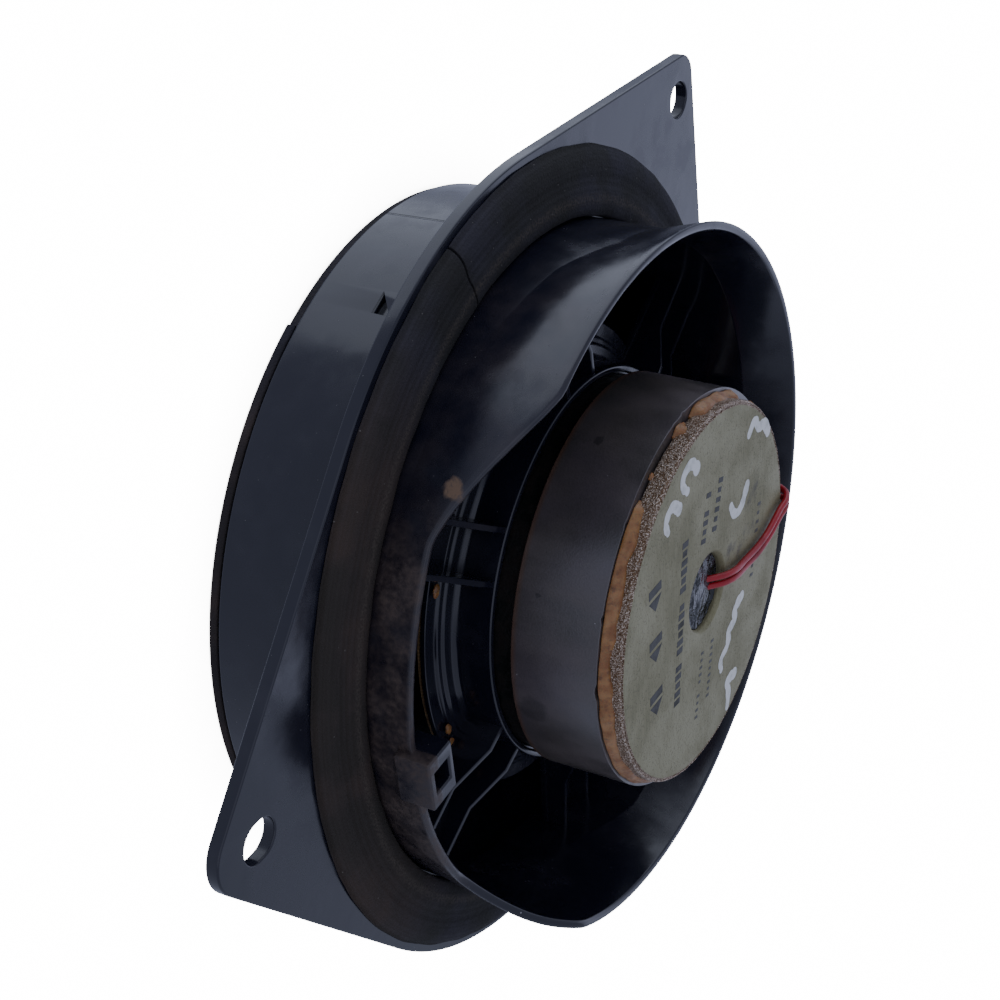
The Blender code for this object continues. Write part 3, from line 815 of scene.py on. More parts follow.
HOOD_CREASE = (
    (0, 36.9), (31.5, 37.9), (52, 39.9), (61, 40.9), (72, 44.3), (83, 46.4), (96, 52.6), (180, 52.6)
)
HOOD_RAMP = (33.0, 58.0)
EARS = ((0.0, 114.8, 9.0), (132.6, 116.8, 6.0), (227.4, 116.8, 6.0))  # angle, tip centre, tip radius
# Each ear hole: angle, centre radius, and half the length of its straight part.
EAR_HOLES = ((0.4, 110.8, 0.6), (133.4, 112.5, 0.0), (226.6, 112.5, 0.0))
EAR_HOLE_R = 4.3
FLANGE_LOW = FLANGE_TOP - 3.0


def hood_rim(degrees):
    """Height of the hood's rim: low beside the clip, high all the way round the back."""
    away = abs((degrees + 180) % 360 - 180)
    t = min(max((away - HOOD_RAMP[0]) / (HOOD_RAMP[1] - HOOD_RAMP[0]), 0.0), 1.0)
    low = sizes().hood_low + (0.0 if degrees % 360 < 180 else -0.5)
    return low + (HOOD_HIGH - low) * (0.6 * t + 0.4 * smooth(t))


def hood_wall_point(degrees, radius, height):
    """Where a point of the straight wall (0 to 1 up to the crease, 1 to 2 up to the rim) really is."""
    away = abs((degrees + 180) % 360 - 180)
    size = sizes()
    rim = hood_rim(degrees)
    crease = min(table_value(HOOD_CREASE, away), rim - 4)
    rim_radius = size.hood_radius + size.hood_flare * smooth((rim - FLANGE_TOP - 6) / 22)
    foot = FLANGE_LOW + 0.6
    inset = radius - size.hood_radius
    if height <= 1:
        return size.hood_radius + inset, foot + (crease - foot) * height
    part = height - 1
    return size.hood_radius + inset + (rim_radius - size.hood_radius) * part, crease + (rim - crease) * part


def rain_hood():
    """Thin wall round the motor whose upper part flares outwards from a crease."""
    size = sizes()
    outer, inner = size.hood_radius, size.hood_radius - size.hood_wall
    levels = [(outer, 0.0), (outer, 0.35), (outer, 0.7), (outer, 0.985), (outer, 1.015)]
    levels += [(outer, 1 + step / 8) for step in range(1, 8)]
    levels += [
        (outer, 1.965), (outer - 0.3, 1.99), (outer - 0.8, 2.0), (inner + 0.8, 2.0), (inner + 0.3, 1.99)
    ]
    levels += [(inner, 1.965), (inner, 1.5), (inner, 1.015), (inner, 0.985), (inner, 0.5), (inner, 0.0)]
    bm = turned(levels, steps=288)
    for vert in bm.verts:
        degrees = math.degrees(math.atan2(vert.co.y, vert.co.x))
        radius = math.hypot(vert.co.x, vert.co.y)
        wall, z = hood_wall_point(degrees, radius, vert.co.z)
        vert.co = polar(wall, degrees, z)
    return finish_piece("rain_hood", bm, "hood", "basket_frame", sharp=60)


def basket_collar():
    """Deep front collar, with the seat of the surround inside and a triangular pocket under the flange."""
    size = sizes()
    base, top = size.collar_radius, size.collar_radius + size.collar_draft
    corners = [
        (base, RIM_Z, 0.6),
        (top - 0.05, FLANGE_LOW - 1.2),
        (top + 0.25, FLANGE_LOW - 0.35),
        (top + 1.0, FLANGE_LOW + 0.15),
        (top + 1.0, FLANGE_LOW + 0.8),
        (77.4, FLANGE_LOW + 0.8),
        (77.0, 13.2, 0.4),
        (68.8, 13.2, 0.5),
        (68.8, 11.2, 0.5),
        (76.2, 11.2, 0.4),
        (76.2, RIM_Z, 0.5),
    ]
    bm = turned(corners, steps=256)
    collar = finish_piece("basket_collar", bm, "basket", "basket_frame")
    pocket = bmesh.new()
    points = [(-3.0, 17.2), (3.0, 17.4), (3.2, 21.8)]
    face = pocket.faces.new([pocket.verts.new((77.9, along, z)) for along, z in points])
    grow(pocket, [face], (6, 0, 0))
    bmesh.ops.rotate(pocket, cent=ORIGIN, matrix=turn(-66.5), verts=pocket.verts[:])
    cut_away(collar, finish_piece("collar_pocket_cutter", pocket, "basket", body=None))
    return collar


def ear_hole(degrees, centre, stretch, steps=40):
    """Round hole of an ear, stretched along the ear by twice its half straight length."""
    points = []
    for step in range(steps):
        angle = 2 * math.pi * (step + 0.5) / steps
        shift = math.copysign(stretch, math.cos(angle))
        local = Vector((centre + shift + EAR_HOLE_R * math.cos(angle), EAR_HOLE_R * math.sin(angle), 0))
        points.append(turn(degrees) @ local)
    return points


def flange_edge():
    """Round disc with three ears whose sides are tangent to the disc and to their rounded tips."""
    points = []
    disc = sizes().disc_radius
    for index, (ear, tip_at, tip_r) in enumerate(EARS):
        half = math.degrees(math.acos((disc - tip_r) / tip_at))
        centre = polar(tip_at, ear)
        points += [centre + polar(tip_r, ear - half + 2 * half * step / 16) for step in range(17)]
        after, next_at, next_r = EARS[(index + 1) % len(EARS)]
        start = ear + half
        end = after % 360 - math.degrees(math.acos((disc - next_r) / next_at))
        end = start + (end - start) % 360
        steps = max(2, round((end - start) / 1.5))
        points += [polar(disc, start + (end - start) * step / steps) for step in range(steps + 1)]
    return points


def basket_flange():
    """Flat flange with its ears, holes and softly rounded edges."""
    bm = bmesh.new()
    bore = [polar(sizes().hood_radius - 1.0, 360 * step / 160) for step in range(160)]
    holes = [ear_hole(*hole) for hole in EAR_HOLES]
    pierced_slab(bm, [flange_edge(), bore, *holes], FLANGE_LOW, FLANGE_TOP)
    soften(bm, 0.45, segments=3)
    finish_piece("basket_flange", bm, "basket", "basket_frame")


def spider_cup():
    """Cup that carries the motor, on a stepped landing ring for the spider."""
    corners = [
        (54.0, 34.8, 0.3),
        (54.0, 36.0, 0.3),
        (50.6, 36.1, 0.2),
        (50.2, 36.8, 0.3),
        (49.0, 36.9, 0.2),
        (48.6, 37.5, 0.3),
        (46.2, 37.7, 0.5),
        (45.4, 38.9, 0.4),
        (45.4, 46.8, 0.5),
        (43.9, 46.8, 0.3),
        (43.9, 45.7, 0.2),
        (33.0, 45.7, 0.4),
        (33.0, 43.7, 0.4),
        (42.8, 43.7, 0.4),
        (42.8, 34.8, 0.3),
    ]
    bm = turned(corners, steps=192)
    finish_piece("spider_cup", bm, "basket", "basket_frame")


def basket_spokes():
    """Six channel spokes, each a flat web between two ribs that climb to the cup."""
    size = sizes()
    wall = size.hood_radius - 1.0
    side = [(44.4, 35.3), (wall, 35.3), (wall, 41.0), (61.0, 41.6), (50.5, 46.0), (44.4, 46.4)]
    bm = bmesh.new()
    slab(bm, rectangle(44.6, wall, -6.95, 6.95), 35.0, 36.6)
    for offset in (-5.75, 5.75):
        stand = Matrix.Translation((0, offset, 0)) @ Matrix.Rotation(math.radians(90), 4, "X")
        slab(bm, side, -size.rib_thickness / 2, size.rib_thickness / 2, stand)
    soften(bm, 0.35)
    repeat_round(bm, SPOKE_ANGLES)
    finish_piece("basket_spokes", bm, "hood", "basket_frame")


def cable_clip():
    """Block on the low rim with a slot for a cable clip."""
    bm = bmesh.new()
    block, slot = rectangle(70.4, 79.2, -6.0, 6.0), rectangle(72.2, 77.4, -2.6, 2.6)
    pierced_slab(bm, [block, slot], 43.6, 52.0)
    soften(bm, 0.5, segments=3)
    bmesh.ops.rotate(bm, cent=ORIGIN, matrix=turn(CLIP_ANGLE), verts=bm.verts[:])
    finish_piece("cable_clip", bm, "hood", "basket_frame")


def terminal_shelf():
    """Shelf for the terminal board, on the side away from the clip."""
    bm = bmesh.new()
    slab(bm, rectangle(58.2, 75.6, -11.0, 11.0), 38.0, 40.0, turn(180))
    soften(bm, 0.4)
    finish_piece("terminal_shelf", bm, "hood", "basket_frame")


# ---------------------------------------------------------------- gaskets


def uneven(bm, amount, pitch, seed=0.0):
    """Push points sideways and up by a smooth random amount, as on cut foam or a laid bead."""
    for vert in bm.verts:
        place = vert.co / pitch + Vector((seed, 0, 0))
        out = Vector((vert.co.x, vert.co.y, 0)).normalized()
        lift = 0.6 * noise.noise(place + Vector((0, 0, 9)))
        vert.co += (out * noise.noise(place) + UP * lift) * amount


def gaskets():
    """Front strip in two lengths, and the rear foam ring, whose profile steps down to its outer band."""
    for name, start, sweep, inset in (("near", -59.8, 199.6, 0.0), ("far", 140.2, 159.7, 0.75)):
        inner, outer = 76.5 - inset, 79.35 - inset
        corners = [(inner, 0.0, 0.2), (outer, 0.0, 0.3), (outer - 0.05, 2.0, 0.3), (inner, 2.0, 0.2)]
        bm = turned(corners, steps=120, start=start, sweep=sweep)
        finish_piece(f"front_strip_{name}", bm, "strip", "front_gasket")

    foot = FLANGE_TOP + 0.06
    ring = [
        (76.9, foot, 0.2),
        (92.55, foot, 0.1),
        (92.3, foot + 0.7, 0.3),
        (91.2, foot + 2.0, 1.0),
        (88.6, foot + 2.9, 1.2),
        (85.3, foot + 2.75, 0.6),
        (84.5, foot + 2.85, 0.5),
        (82.6, foot + 3.35, 0.8),
        (79.4, foot + 3.55, 1.0),
        (77.2, foot + 3.0, 0.6),
        (76.9, foot + 1.6, 0.4),
    ]
    bm = turned(ring, steps=320, start=-70.6, sweep=359.6, cuts=(1.6, 2))
    uneven(bm, 0.22, 6.0)
    for vert in bm.verts:
        tight = max(1.0, 76.85 / math.hypot(vert.co.x, vert.co.y))
        vert.co = Vector((vert.co.x * tight, vert.co.y * tight, max(vert.co.z, foot)))
    finish_piece("rear_foam", bm, "foam", "rear_gasket")


# ---------------------------------------------------------------- motor


def motor_plates():
    """Front plate, ring magnet, and back plate with its pole, face groove and sheared edge."""
    low, high = TOP_PLATE_LOW.z, TOP_PLATE_HIGH.z
    reach = TOP_PLATE_HIGH.x
    corners = [(17.3, low, 0.2), (reach, low, 0.4), (reach, high, 0.3), (17.3, high)]
    finish_piece("front_plate", turned(corners, 192), "rusty", "top_plate")

    low, high = MAGNET_LOW.z, MAGNET_HIGH.z
    corners = [(MAGNET_BORE_R, low), (MAGNET_R, low, 0.3), (MAGNET_R, high, 0.12), (MAGNET_BORE_R, high)]
    bm = turned(corners, 256)
    for vert in bm.verts:
        chip = max(noise.noise(vert.co / 2.6) - 0.33, 0.0)
        if vert.co.z > high - 0.8 and vert.co.x**2 + vert.co.y**2 > (MAGNET_R - 0.8) ** 2:
            vert.co.z -= 1.6 * chip
    finish_piece("ring_magnet", bm, "ferrite", "ferrite_magnet")

    groove = PLATE_R - 0.45
    corners = [
        (VENT_R, TOP_PLATE_LOW.z),
        (POLE_R, TOP_PLATE_LOW.z, 0.3),
        (POLE_R, PLATE_LOW),
        (PLATE_R - 0.35, PLATE_LOW, 0.2),
        (PLATE_R, PLATE_LOW + 0.9),
        (PLATE_R, PLATE_TOP - 0.5, 0.25),
        (groove + 0.05, PLATE_TOP - 0.12, 0.1),
        (groove - 0.1, PLATE_TOP - 0.4),
        (groove - 0.45, PLATE_TOP - 0.36),
        (groove - 0.6, PLATE_TOP, 0.06),
        (9.5, PLATE_TOP, 0.3),
        (VENT_R, PLATE_TOP - 0.9, 0.3),
    ]
    bm = turned(corners, 288)
    for face in bm.faces:
        middle = face.calc_center_median()
        if math.hypot(middle.x, middle.y) > groove - 0.62 and middle.z > PLATE_LOW + 0.02:
            face.material_index = 1
    for vert in bm.verts:
        radius = math.hypot(vert.co.x, vert.co.y)
        if abs(radius - groove + 0.3) < 0.45 and vert.co.z > PLATE_TOP - 0.45:
            vert.co += Vector((vert.co.x, vert.co.y, 0)).normalized() * noise.noise(vert.co / 1.7) * 0.16
    finish_piece("back_plate", bm, "zinc sheared", "t_yoke")

    bm = turned(
        [(0, 69.7), (8.6, 69.7), (8.76, 74.3, 0.3), (7.4, 73.8, 0.8), (4.0, 74.5, 0.8), (0, 74.9)], 96
    )
    for vert in bm.verts:
        if vert.co.z > 70.5:
            vert.co.z += 0.5 * noise.noise(vert.co / 3.0)
    finish_piece("vent_sealant", bm, "sealant")


ADHESIVE_ARCS = ((-56, 206), (157, 70), (-121, 31), (-86.5, 7.5), (-65, 2.2))  # start and sweep, degrees


def adhesive():
    """Bead squeezed out at the foot of the back plate, broken into runs, with loose drops."""
    whole = bmesh.new()
    for start, sweep in ADHESIVE_ARCS:
        corners = [
            (PLATE_R - 0.5, PLATE_LOW - 0.2),
            (MAGNET_R - 0.5, PLATE_LOW - 0.2, 0.2),
            (MAGNET_R - 0.55, PLATE_LOW + 0.4, 0.3),
            (PLATE_R + 0.55, PLATE_LOW + 2.1, 0.5),
            (PLATE_R - 0.5, PLATE_LOW + 2.4),
        ]
        bm = turned(corners, max(10, round(sweep)), start, sweep)
        for vert in bm.verts:
            degrees = math.degrees(math.atan2(vert.co.y, vert.co.x))
            along = (degrees - start + 0.01) % 360
            end = min(along, sweep - along, 3.0) / 3.0
            fat = (0.25 + 0.75 * smooth(end)) * (0.95 + 0.35 * noise.noise(vert.co / 5.0))
            radius = math.hypot(vert.co.x, vert.co.y)
            grown = PLATE_R - 0.5 + (radius - PLATE_R + 0.5) * min(max(fat, 0.3), 1.25)
            vert.co = polar(
                grown, degrees, PLATE_LOW - 0.2 + (vert.co.z - PLATE_LOW + 0.2) * min(max(fat, 0.25), 1.3)
            )
        merged(whole, bm)
    finish_piece("adhesive_bead", whole, "glue", "glue_bead")

    drops = bmesh.new()
    places = [
        (51.2, 19.1, 36.9, 1.0), (51.8, 23.7, 36.9, 0.8), (50.9, 28.8, 36.9, 0.9), (52.3, -21.2, 36.9, 1.1)
    ]
    for radius, degrees, z, size in places:
        spot = Matrix.Translation(polar(radius, degrees, z)) @ turn(degrees) @ Matrix.Diagonal(
            (1.0, 1.5, 0.5, 1)
        )
        bmesh.ops.create_icosphere(drops, subdivisions=3, radius=size, matrix=spot)
    uneven(drops, 0.25, 0.9)
    finish_piece("adhesive_drops", drops, "glue")


INK = (PLATE_TOP - 0.05, PLATE_TOP + 0.03)  # heights between which the print stands, millimetres


def dab(bm, x, y, size, proud):
    """Round spot of paint on the back plate."""
    points = [polar(size / 2, 360 * step / 14) for step in range(14)]
    slab(bm, [(x + point.x, y + point.y) for point in points], INK[0], PLATE_TOP + proud)


def rounded(points, rounds=3):
    """Cut the corners of an open (x, y) line until it runs smoothly."""
    for _ in range(rounds):
        cut = [points[0]]
        for a, b in zip(points, points[1:]):
            a, b = Vector(a), Vector(b)
            cut += [tuple(a.lerp(b, 0.25)), tuple(a.lerp(b, 0.75))]
        points = [*cut, points[-1]]
    return points


def stroke(bm, points, width):
    """Brushed stroke through given points: overlapping spots that thin towards the end."""
    lengths = [(Vector(b) - Vector(a)).length for a, b in zip(points, points[1:])]
    total, run = sum(lengths), 0.0
    for (a, b), length in zip(zip(points, points[1:]), lengths):
        count = max(2, round(length / 0.25))
        for step in range(count):
            place = Vector(a).lerp(Vector(b), step / count)
            part = (run + length * step / count) / total
            wobble = noise.noise(Vector((place.x, place.y, 0)) / 1.3)
            dab(bm, place.x, place.y, width * (1.0 - 0.3 * part + 0.25 * wobble), 0.03 + 0.02 * part)
        run += length


def bar_row(bm, start, end, count, wide, high, gap_at=()):
    """Row of plain bars from one (x, y) place to another; gap_at leaves bars out."""
    start, end = Vector(start), Vector(end)
    lean = math.atan2(end.y - start.y, end.x - start.x) - math.pi / 2
    for index in range(count):
        if index in gap_at:
            continue
        place = start.lerp(end, index / (count - 1))
        stand = Matrix.Translation((place.x, place.y, 0)) @ Matrix.Rotation(lean, 4, "Z")
        tall = high * (1.0 - 0.25 * (index % 3 == 1))
        slab(bm, rectangle(-tall / 2, tall / 2, -wide / 2, wide / 2), *INK, stand)


PAINT_STROKES = (
    [(5.6, -34.4), (8.2, -37.4), (12.4, -36.4), (13.0, -33.6), (10.4, -31.4)],
    [(14.6, -29.4), (18.0, -32.4), (21.6, -29.4), (20.0, -26.6)],
    [(-33.4, -23.6), (-31.0, -27.4), (-27.6, -27.0), (-25.6, -31.2), (-22.4, -28.4)],
    [(-21.6, -15.8), (-18.4, -11.4), (-14.4, -11.8), (-12.6, -15.2)],
    [(-19.4, 12.6), (-15.0, 13.6), (-16.0, 17.0), (-11.4, 17.6), (-12.4, 21.4), (-7.2, 22.8), (-8.0, 26.0)],
    [(-15.6, 32.0), (-11.0, 31.0), (-12.6, 35.6), (-11.6, 39.0)],
)


def plate_marks():
    """Generic paint strokes and rows of plain printed bars; they spell nothing."""
    paint = bmesh.new()
    for points in PAINT_STROKES:
        stroke(paint, rounded(points), 2.9)
    finish_piece("paint_strokes", paint, "paint")

    bold = bmesh.new()
    for middle in (-14.6, -1.8, 12.0):
        slab(bold, rectangle(23.4, 29.4, middle - 2.8, middle - 0.7), *INK)
        slab(bold, [(23.4, middle + 0.2), (29.4, middle + 0.2), (26.4, middle + 3.4)], *INK)
    finish_piece("printed_bold_shapes", bold, "ink")

    fine = bmesh.new()
    bar_row(fine, (11.4, -19.0), (16.2, 19.0), 19, 1.45, 3.0, gap_at=(6, 13))
    bar_row(fine, (-7.0, -25.0), (-3.6, -14.5), 6, 1.2, 2.5)
    bar_row(fine, (-0.6, -24.6), (2.2, -14.5), 6, 1.2, 2.5, gap_at=(1,))
    finish_piece("printed_fine_bars", fine, "ink")

    pale = bmesh.new()
    bar_row(pale, (-2.8, 14.6), (-0.2, 28.0), 9, 0.7, 1.5)
    bar_row(pale, (2.6, 14.6), (6.0, 30.0), 10, 0.7, 1.5, gap_at=(5,))
    bar_row(pale, (-29.0, -7.0), (-25.0, 10.0), 9, 0.8, 1.8, gap_at=(4,))
    finish_piece("printed_pale_bars", pale, "pale_ink")


# ---------------------------------------------------------------- cone


def cone_z(radius):
    """Height of the cone's rear face, slightly flared from the neck to the edge."""
    t = (radius - 17.9) / (61.5 - 17.9)
    return 32.0 - 20.0 * t - 2.2 * math.sin(math.pi * t) * (1 - 0.35 * t)


def cone_parts():
    """Paper cone, voice coil, rolled surround and corrugated spider."""
    line = [(17.3, 33.4)] + [
        (17.9 + 43.6 * step / 24, cone_z(17.9 + 43.6 * step / 24)) for step in range(25)
    ]
    bm = turned(sheet_outline(line, -0.9), 192)
    finish_piece("paper_cone", bm, "paper", "cone", "cone")
    tube = [(15.5, 30.0, 0.1), (15.9, 30.0, 0.1), (15.9, 52.2, 0.1), (15.5, 52.2, 0.1)]
    bm = turned(tube, 128)
    finish_piece("coil_former", bm, "former", "voice_coil_former", "cone")
    tube = [(16.1, 45.2, 0.15), (16.7, 45.2, 0.15), (16.7, 51.8, 0.15), (16.1, 51.8, 0.15)]
    bm = turned(tube, 128)
    finish_piece("coil_winding", bm, "copper", "voice_coil_winding", "cone")

    flat = SURROUND_Z
    angles = [math.pi * k / 24 for k in range(25)]
    roll = [(65.6 + 4.5 * math.cos(angle), flat - ROLL_HEIGHT * math.sin(angle)) for angle in angles]
    outer = [(75.9, flat), (73.0, flat), (70.6, flat)] + roll[:13]
    inner = roll[12:] + [(60.4, flat - 0.1), (59.6, flat - 0.2)]
    bm = turned(sheet_outline(outer, -0.7), 192)
    piece = finish_piece("surround_outer", bm, "rubber", "surround", None)
    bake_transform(piece)
    bm = turned(sheet_outline(inner, -0.7), 192)
    finish_piece("surround_inner", bm, "rubber", "surround", "cone")

    steps = 64
    rolls, depth = 4, 1.1
    wave = [
        (43.5 - 22.5 * k / steps, SPIDER_Z - depth * math.sin(2 * math.pi * rolls * k / steps))
        for k in range(steps + 1)
    ]
    foot = [(53.6, SPIDER_Z), (45.5, SPIDER_Z), (44.2, SPIDER_Z - 0.1)]
    sheet = sheet_outline([*foot, *wave, (17.0, SPIDER_Z)], -0.45)
    sectors = 12
    for index in range(sectors):
        start = 360 / sectors * index
        bm = turned(sheet, 10, start, 360 / sectors)
        piece = finish_piece(f"spider_{index + 1:02d}", bm, "spider", "spider", None)
        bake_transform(piece)


def tweeter_parts():
    """Tweeter on its post: housing, guard, motor, dome and suspension."""
    post = [
        (2.6, 15.7), (5.2, 15.7), (5.2, 55.0, 0.6), (8.5, 57.0, 0.5), (8.5, 69.5, 0.4), (2.6, 69.5, 0.3)
    ]
    bm = turned(post, 96)
    finish_piece("centre_post", bm, "tweeter", "tweeter_post")
    shell = [
        (2.6, 13.6),
        (2.6, 15.4),
        (7.2, 15.4, 0.6),
        (17.0, 14.0, 1.5),
        (19.5, 11.5, 0.8),
        (19.5, 6.8, 0.3),
        (17.6, 6.8, 0.2),
        (17.6, 11.0, 0.5),
        (15.5, 12.6, 0.4),
        (12.0, 13.6),
    ]
    finish_piece("tweeter_shell", turned(shell, 128), "tweeter", "tweeter_housing")
    face = [
        (12.6, 6.6, 0.2),
        (19.5, 6.4, 0.3),
        (19.5, 5.2, 0.6),
        (17.5, 3.6, 0.8),
        (14.0, 3.4, 0.4),
        (12.6, 4.6, 0.4),
    ]
    bm = turned(face, 128)
    bars = bmesh.new()
    slab(bars, rectangle(3.4, 14.6, -0.8, 0.8), 2.6, 3.9)
    soften(bars, 0.25)
    repeat_round(bars, (0, 120, 240))
    merged(bm, bars)
    merged(bm, turned([(0, 2.4), (4.4, 2.4, 0.5), (4.4, 3.8, 0.2), (0, 3.8)], 64))
    finish_piece("tweeter_guard", bm, "tweeter", "tweeter_faceplate")
    cup = [(0, 13.3), (0, 12.0), (8.9, 12.0, 0.2), (8.9, 8.3, 0.2), (10.4, 8.3, 0.2), (10.4, 13.3, 0.4)]
    finish_piece("tweeter_cup", turned(cup, 96), "zinc", "tweeter_pot")
    disc = [(0, 11.7), (0, 9.6), (7.0, 9.6, 0.3), (7.0, 11.7, 0.3)]
    finish_piece("tweeter_disc_magnet", turned(disc, 96), "nickel", "tweeter_magnet")
    disc = [(0, 9.3), (0, 8.2), (7.4, 8.2, 0.2), (7.4, 9.3, 0.2)]
    finish_piece("tweeter_pole", turned(disc, 96), "zinc", "tweeter_pole_plate")
    tube = [(7.85, 10.6, 0.1), (7.85, 8.0, 0.1), (8.3, 8.0, 0.1), (8.3, 10.6, 0.1)]
    finish_piece(
        "tweeter_voice_coil", turned(tube, 96), "copper", "tweeter_coil", "dome"
    )
    curve = [(8.6 * k / 12, 4.6 + 2.6 * (k / 12) ** 2) for k in range(13)]
    bm = turned(sheet_outline(curve, 0.35), 96)
    finish_piece("silk_dome", bm, "silk", "tweeter_dome", "dome")
    inner = [(8.95, 7.0), (9.2, 6.6), (9.6, 6.3), (10.1, 6.08), (10.6, 6.0)]
    outer = [(10.6, 6.0), (11.1, 6.1), (11.6, 6.4), (12.0, 6.75), (12.4, 7.0), (15.6, 7.0)]
    bm = turned(sheet_outline(inner, 0.3), 96)
    finish_piece("tweeter_roll_inner", bm, "silk", "tweeter_suspension", "dome")
    bm = turned(sheet_outline(outer, 0.3), 96)
    piece = finish_piece("tweeter_roll_outer", bm, "silk", "tweeter_suspension", None)
    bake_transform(piece)


# ---------------------------------------------------------------- wiring


def wire(name, points, radius, look, node, body="frame"):
    """Round wire along given points in millimetres about the axis."""
    curve = bpy.data.curves.new(name, "CURVE")
    curve.dimensions = "3D"
    curve.bevel_depth = radius * MM
    curve.bevel_resolution = 5
    curve.resolution_u = 12
    curve.use_fill_caps = True
    spline = curve.splines.new("BEZIER")
    spline.bezier_points.add(len(points) - 1)
    for knot, point in zip(spline.bezier_points, points):
        knot.co = (Vector(point) + Vector((AXIS_X, 0, 0))) * MM
        knot.handle_left_type = knot.handle_right_type = "AUTO"
    curve.materials.append(finish(look))
    line = bpy.data.objects.new(f"{name}_line", curve)
    bpy.context.scene.collection.objects.link(line)
    mesh = bpy.data.meshes.new_from_object(line.evaluated_get(bpy.context.evaluated_depsgraph_get()))
    mesh.name = name
    mesh.shade_smooth()
    mesh.set_sharp_from_angle(angle=math.radians(50))
    piece = bpy.data.objects.new(name, mesh)
    bpy.context.scene.collection.objects.link(piece)
    bpy.data.objects.remove(line)
    if body:
        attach(piece, body)
    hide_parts(node)
    return piece


def tweeter_leads():
    """Two red leads, out of the vent, across the back plate and down to the terminals."""
    for number, s in ((1, -1), (2, 1)):
        path = [
            (-0.6, 0.9 * s, 68.0),
            (-1.6, 1.0 * s, 71.5),
            (-5.0, 1.0 * s + 0.2, 75.2),
            (-9.2, 0.95 * s + 0.9, 77.15),
            (-18.0, 0.9 * s + 2.4, 77.2),
            (-29.6, 0.9 * s + 2.7, 77.2),
            (-38.5, 0.95 * s + 0.4, 77.2),
            (-43.2, 1.0 * s - 0.2, 76.9),
            (-46.6, 1.2 * s, 74.4),
            (-47.4, 2.2 * s, 66.0),
            (-49.6, 5.6 * s, 57.0),
        ]
        if number == 1:
            path += [(-53.4, -9.6, 50.6), (-53.8, -11.4, 46.3)]
        else:
            path += [(-57.5, 4.0, 51.5), (-62.4, 5.4, 45.2), (-63.4, 6.0, 44.0)]
        radius = sizes().lead_diameter / 2
        wire(f"red_lead_{number}", path, radius, "red", f"tweeter_lead_{number}")


def tinsel_leads():
    """Braided leads from the terminals to the cone."""
    for number, s in ((1, -1), (2, 1)):
        path = [
            (-60.6, 5.4 * s, 43.9),
            (-57.2, 5.0 * s, 43.6),
            (-55.8, 5.0 * s, 40.0),
            (-55.6, 6.0 * s, 35.0),
            (-53.0, 8.5 * s, 28.0),
            (-45.0, 9.0 * s, 24.6),
            (-38.0, 8.0 * s, 23.6),
        ]
        node = f"tinsel_lead_{number}"
        piece = wire(f"tinsel_braid_{number}", path, 0.5, "braid", node, None)
        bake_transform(piece)


def terminals():
    """Board on its shelf, rivet, two lugs, and the tweeter's capacitor."""
    top = 40.3
    bm = bmesh.new()
    slab(bm, rectangle(58.6, 72.0, -10.5, 10.5), top, top + 1.6, turn(180))
    soften(bm, 0.15)
    finish_piece("terminal_plate", bm, "board", "terminal_board")
    rivet = [
        (0, 36.7),
        (2.2, 36.9, 0.2),
        (2.4, 37.7, 0.1),
        (1.0, 37.7),
        (1.0, 42.2),
        (2.4, 42.2, 0.1),
        (2.1, 43.1, 0.4),
        (0, 43.3),
    ]
    bm = turned(rivet, 48)
    bm.transform(turn(180) @ Matrix.Translation((65.5, 0, 0)))
    finish_piece("board_rivet", bm, "brass", "terminal_rivet")
    for number, side in ((1, -1), (2, 1)):
        bm = bmesh.new()
        y = 7.0 * side
        slab(bm, rectangle(59.2, 70.8, y - 2.4, y + 2.4), top + 1.9, top + 2.7, turn(180))
        blade = bmesh.new()
        slab(blade, rectangle(70.0, 70.8, y - 2.35, y + 2.35), top + 2.2, top + 10.9, turn(180))
        soften(bm, 0.15)
        soften(blade, 0.15)
        merged(bm, blade)
        node = f"terminal_lug_{number}"
        finish_piece(f"push_on_lug_{number}", bm, "brass", node)
    body = [(3.3, -7.5, 0.3), (3.6, -7.0, 0.2), (3.6, 7.0, 0.2), (3.3, 7.5, 0.3)]
    bm = turned([(0, -10), (0.45, -10), (0.45, -7.4), *body, (0.45, 7.4), (0.45, 10), (0, 10)], 64)
    bm.transform(Matrix.Translation((-53.8, 0, 46.3)) @ Matrix.Rotation(math.radians(90), 4, "X"))
    finish_piece("film_capacitor", bm, "sleeve", "tweeter_capacitor")
    path = [(-53.8, 10.4, 46.3), (-55.2, 12.2, 45.6), (-58.4, 11.0, 44.2), (-60.4, 8.6, 43.6)]
    wire("capacitor_tail", path, 0.45, "brass", "capacitor_wire")


# ---------------------------------------------------------------- stage

TOWARDS_PANEL = Vector((-0.468, -0.858, -0.211)).normalized()


def soft_panel(name, direction, distance, side, power, tint):
    """Square area light that looks at the speaker."""
    light = bpy.data.lights.new(name, "AREA")
    light.shape = "SQUARE"
    light.size = side
    light.energy = power
    light.color = linear(tint)[:3]
    lamp = bpy.data.objects.new(name, light)
    lamp.location = Vector((AXIS_X * MM, 0, 0.04)) + direction.normalized() * distance
    lamp.rotation_euler = direction.to_track_quat("Z", "Y").to_euler()
    lamp.visible_camera = False
    bpy.context.scene.collection.objects.link(lamp)


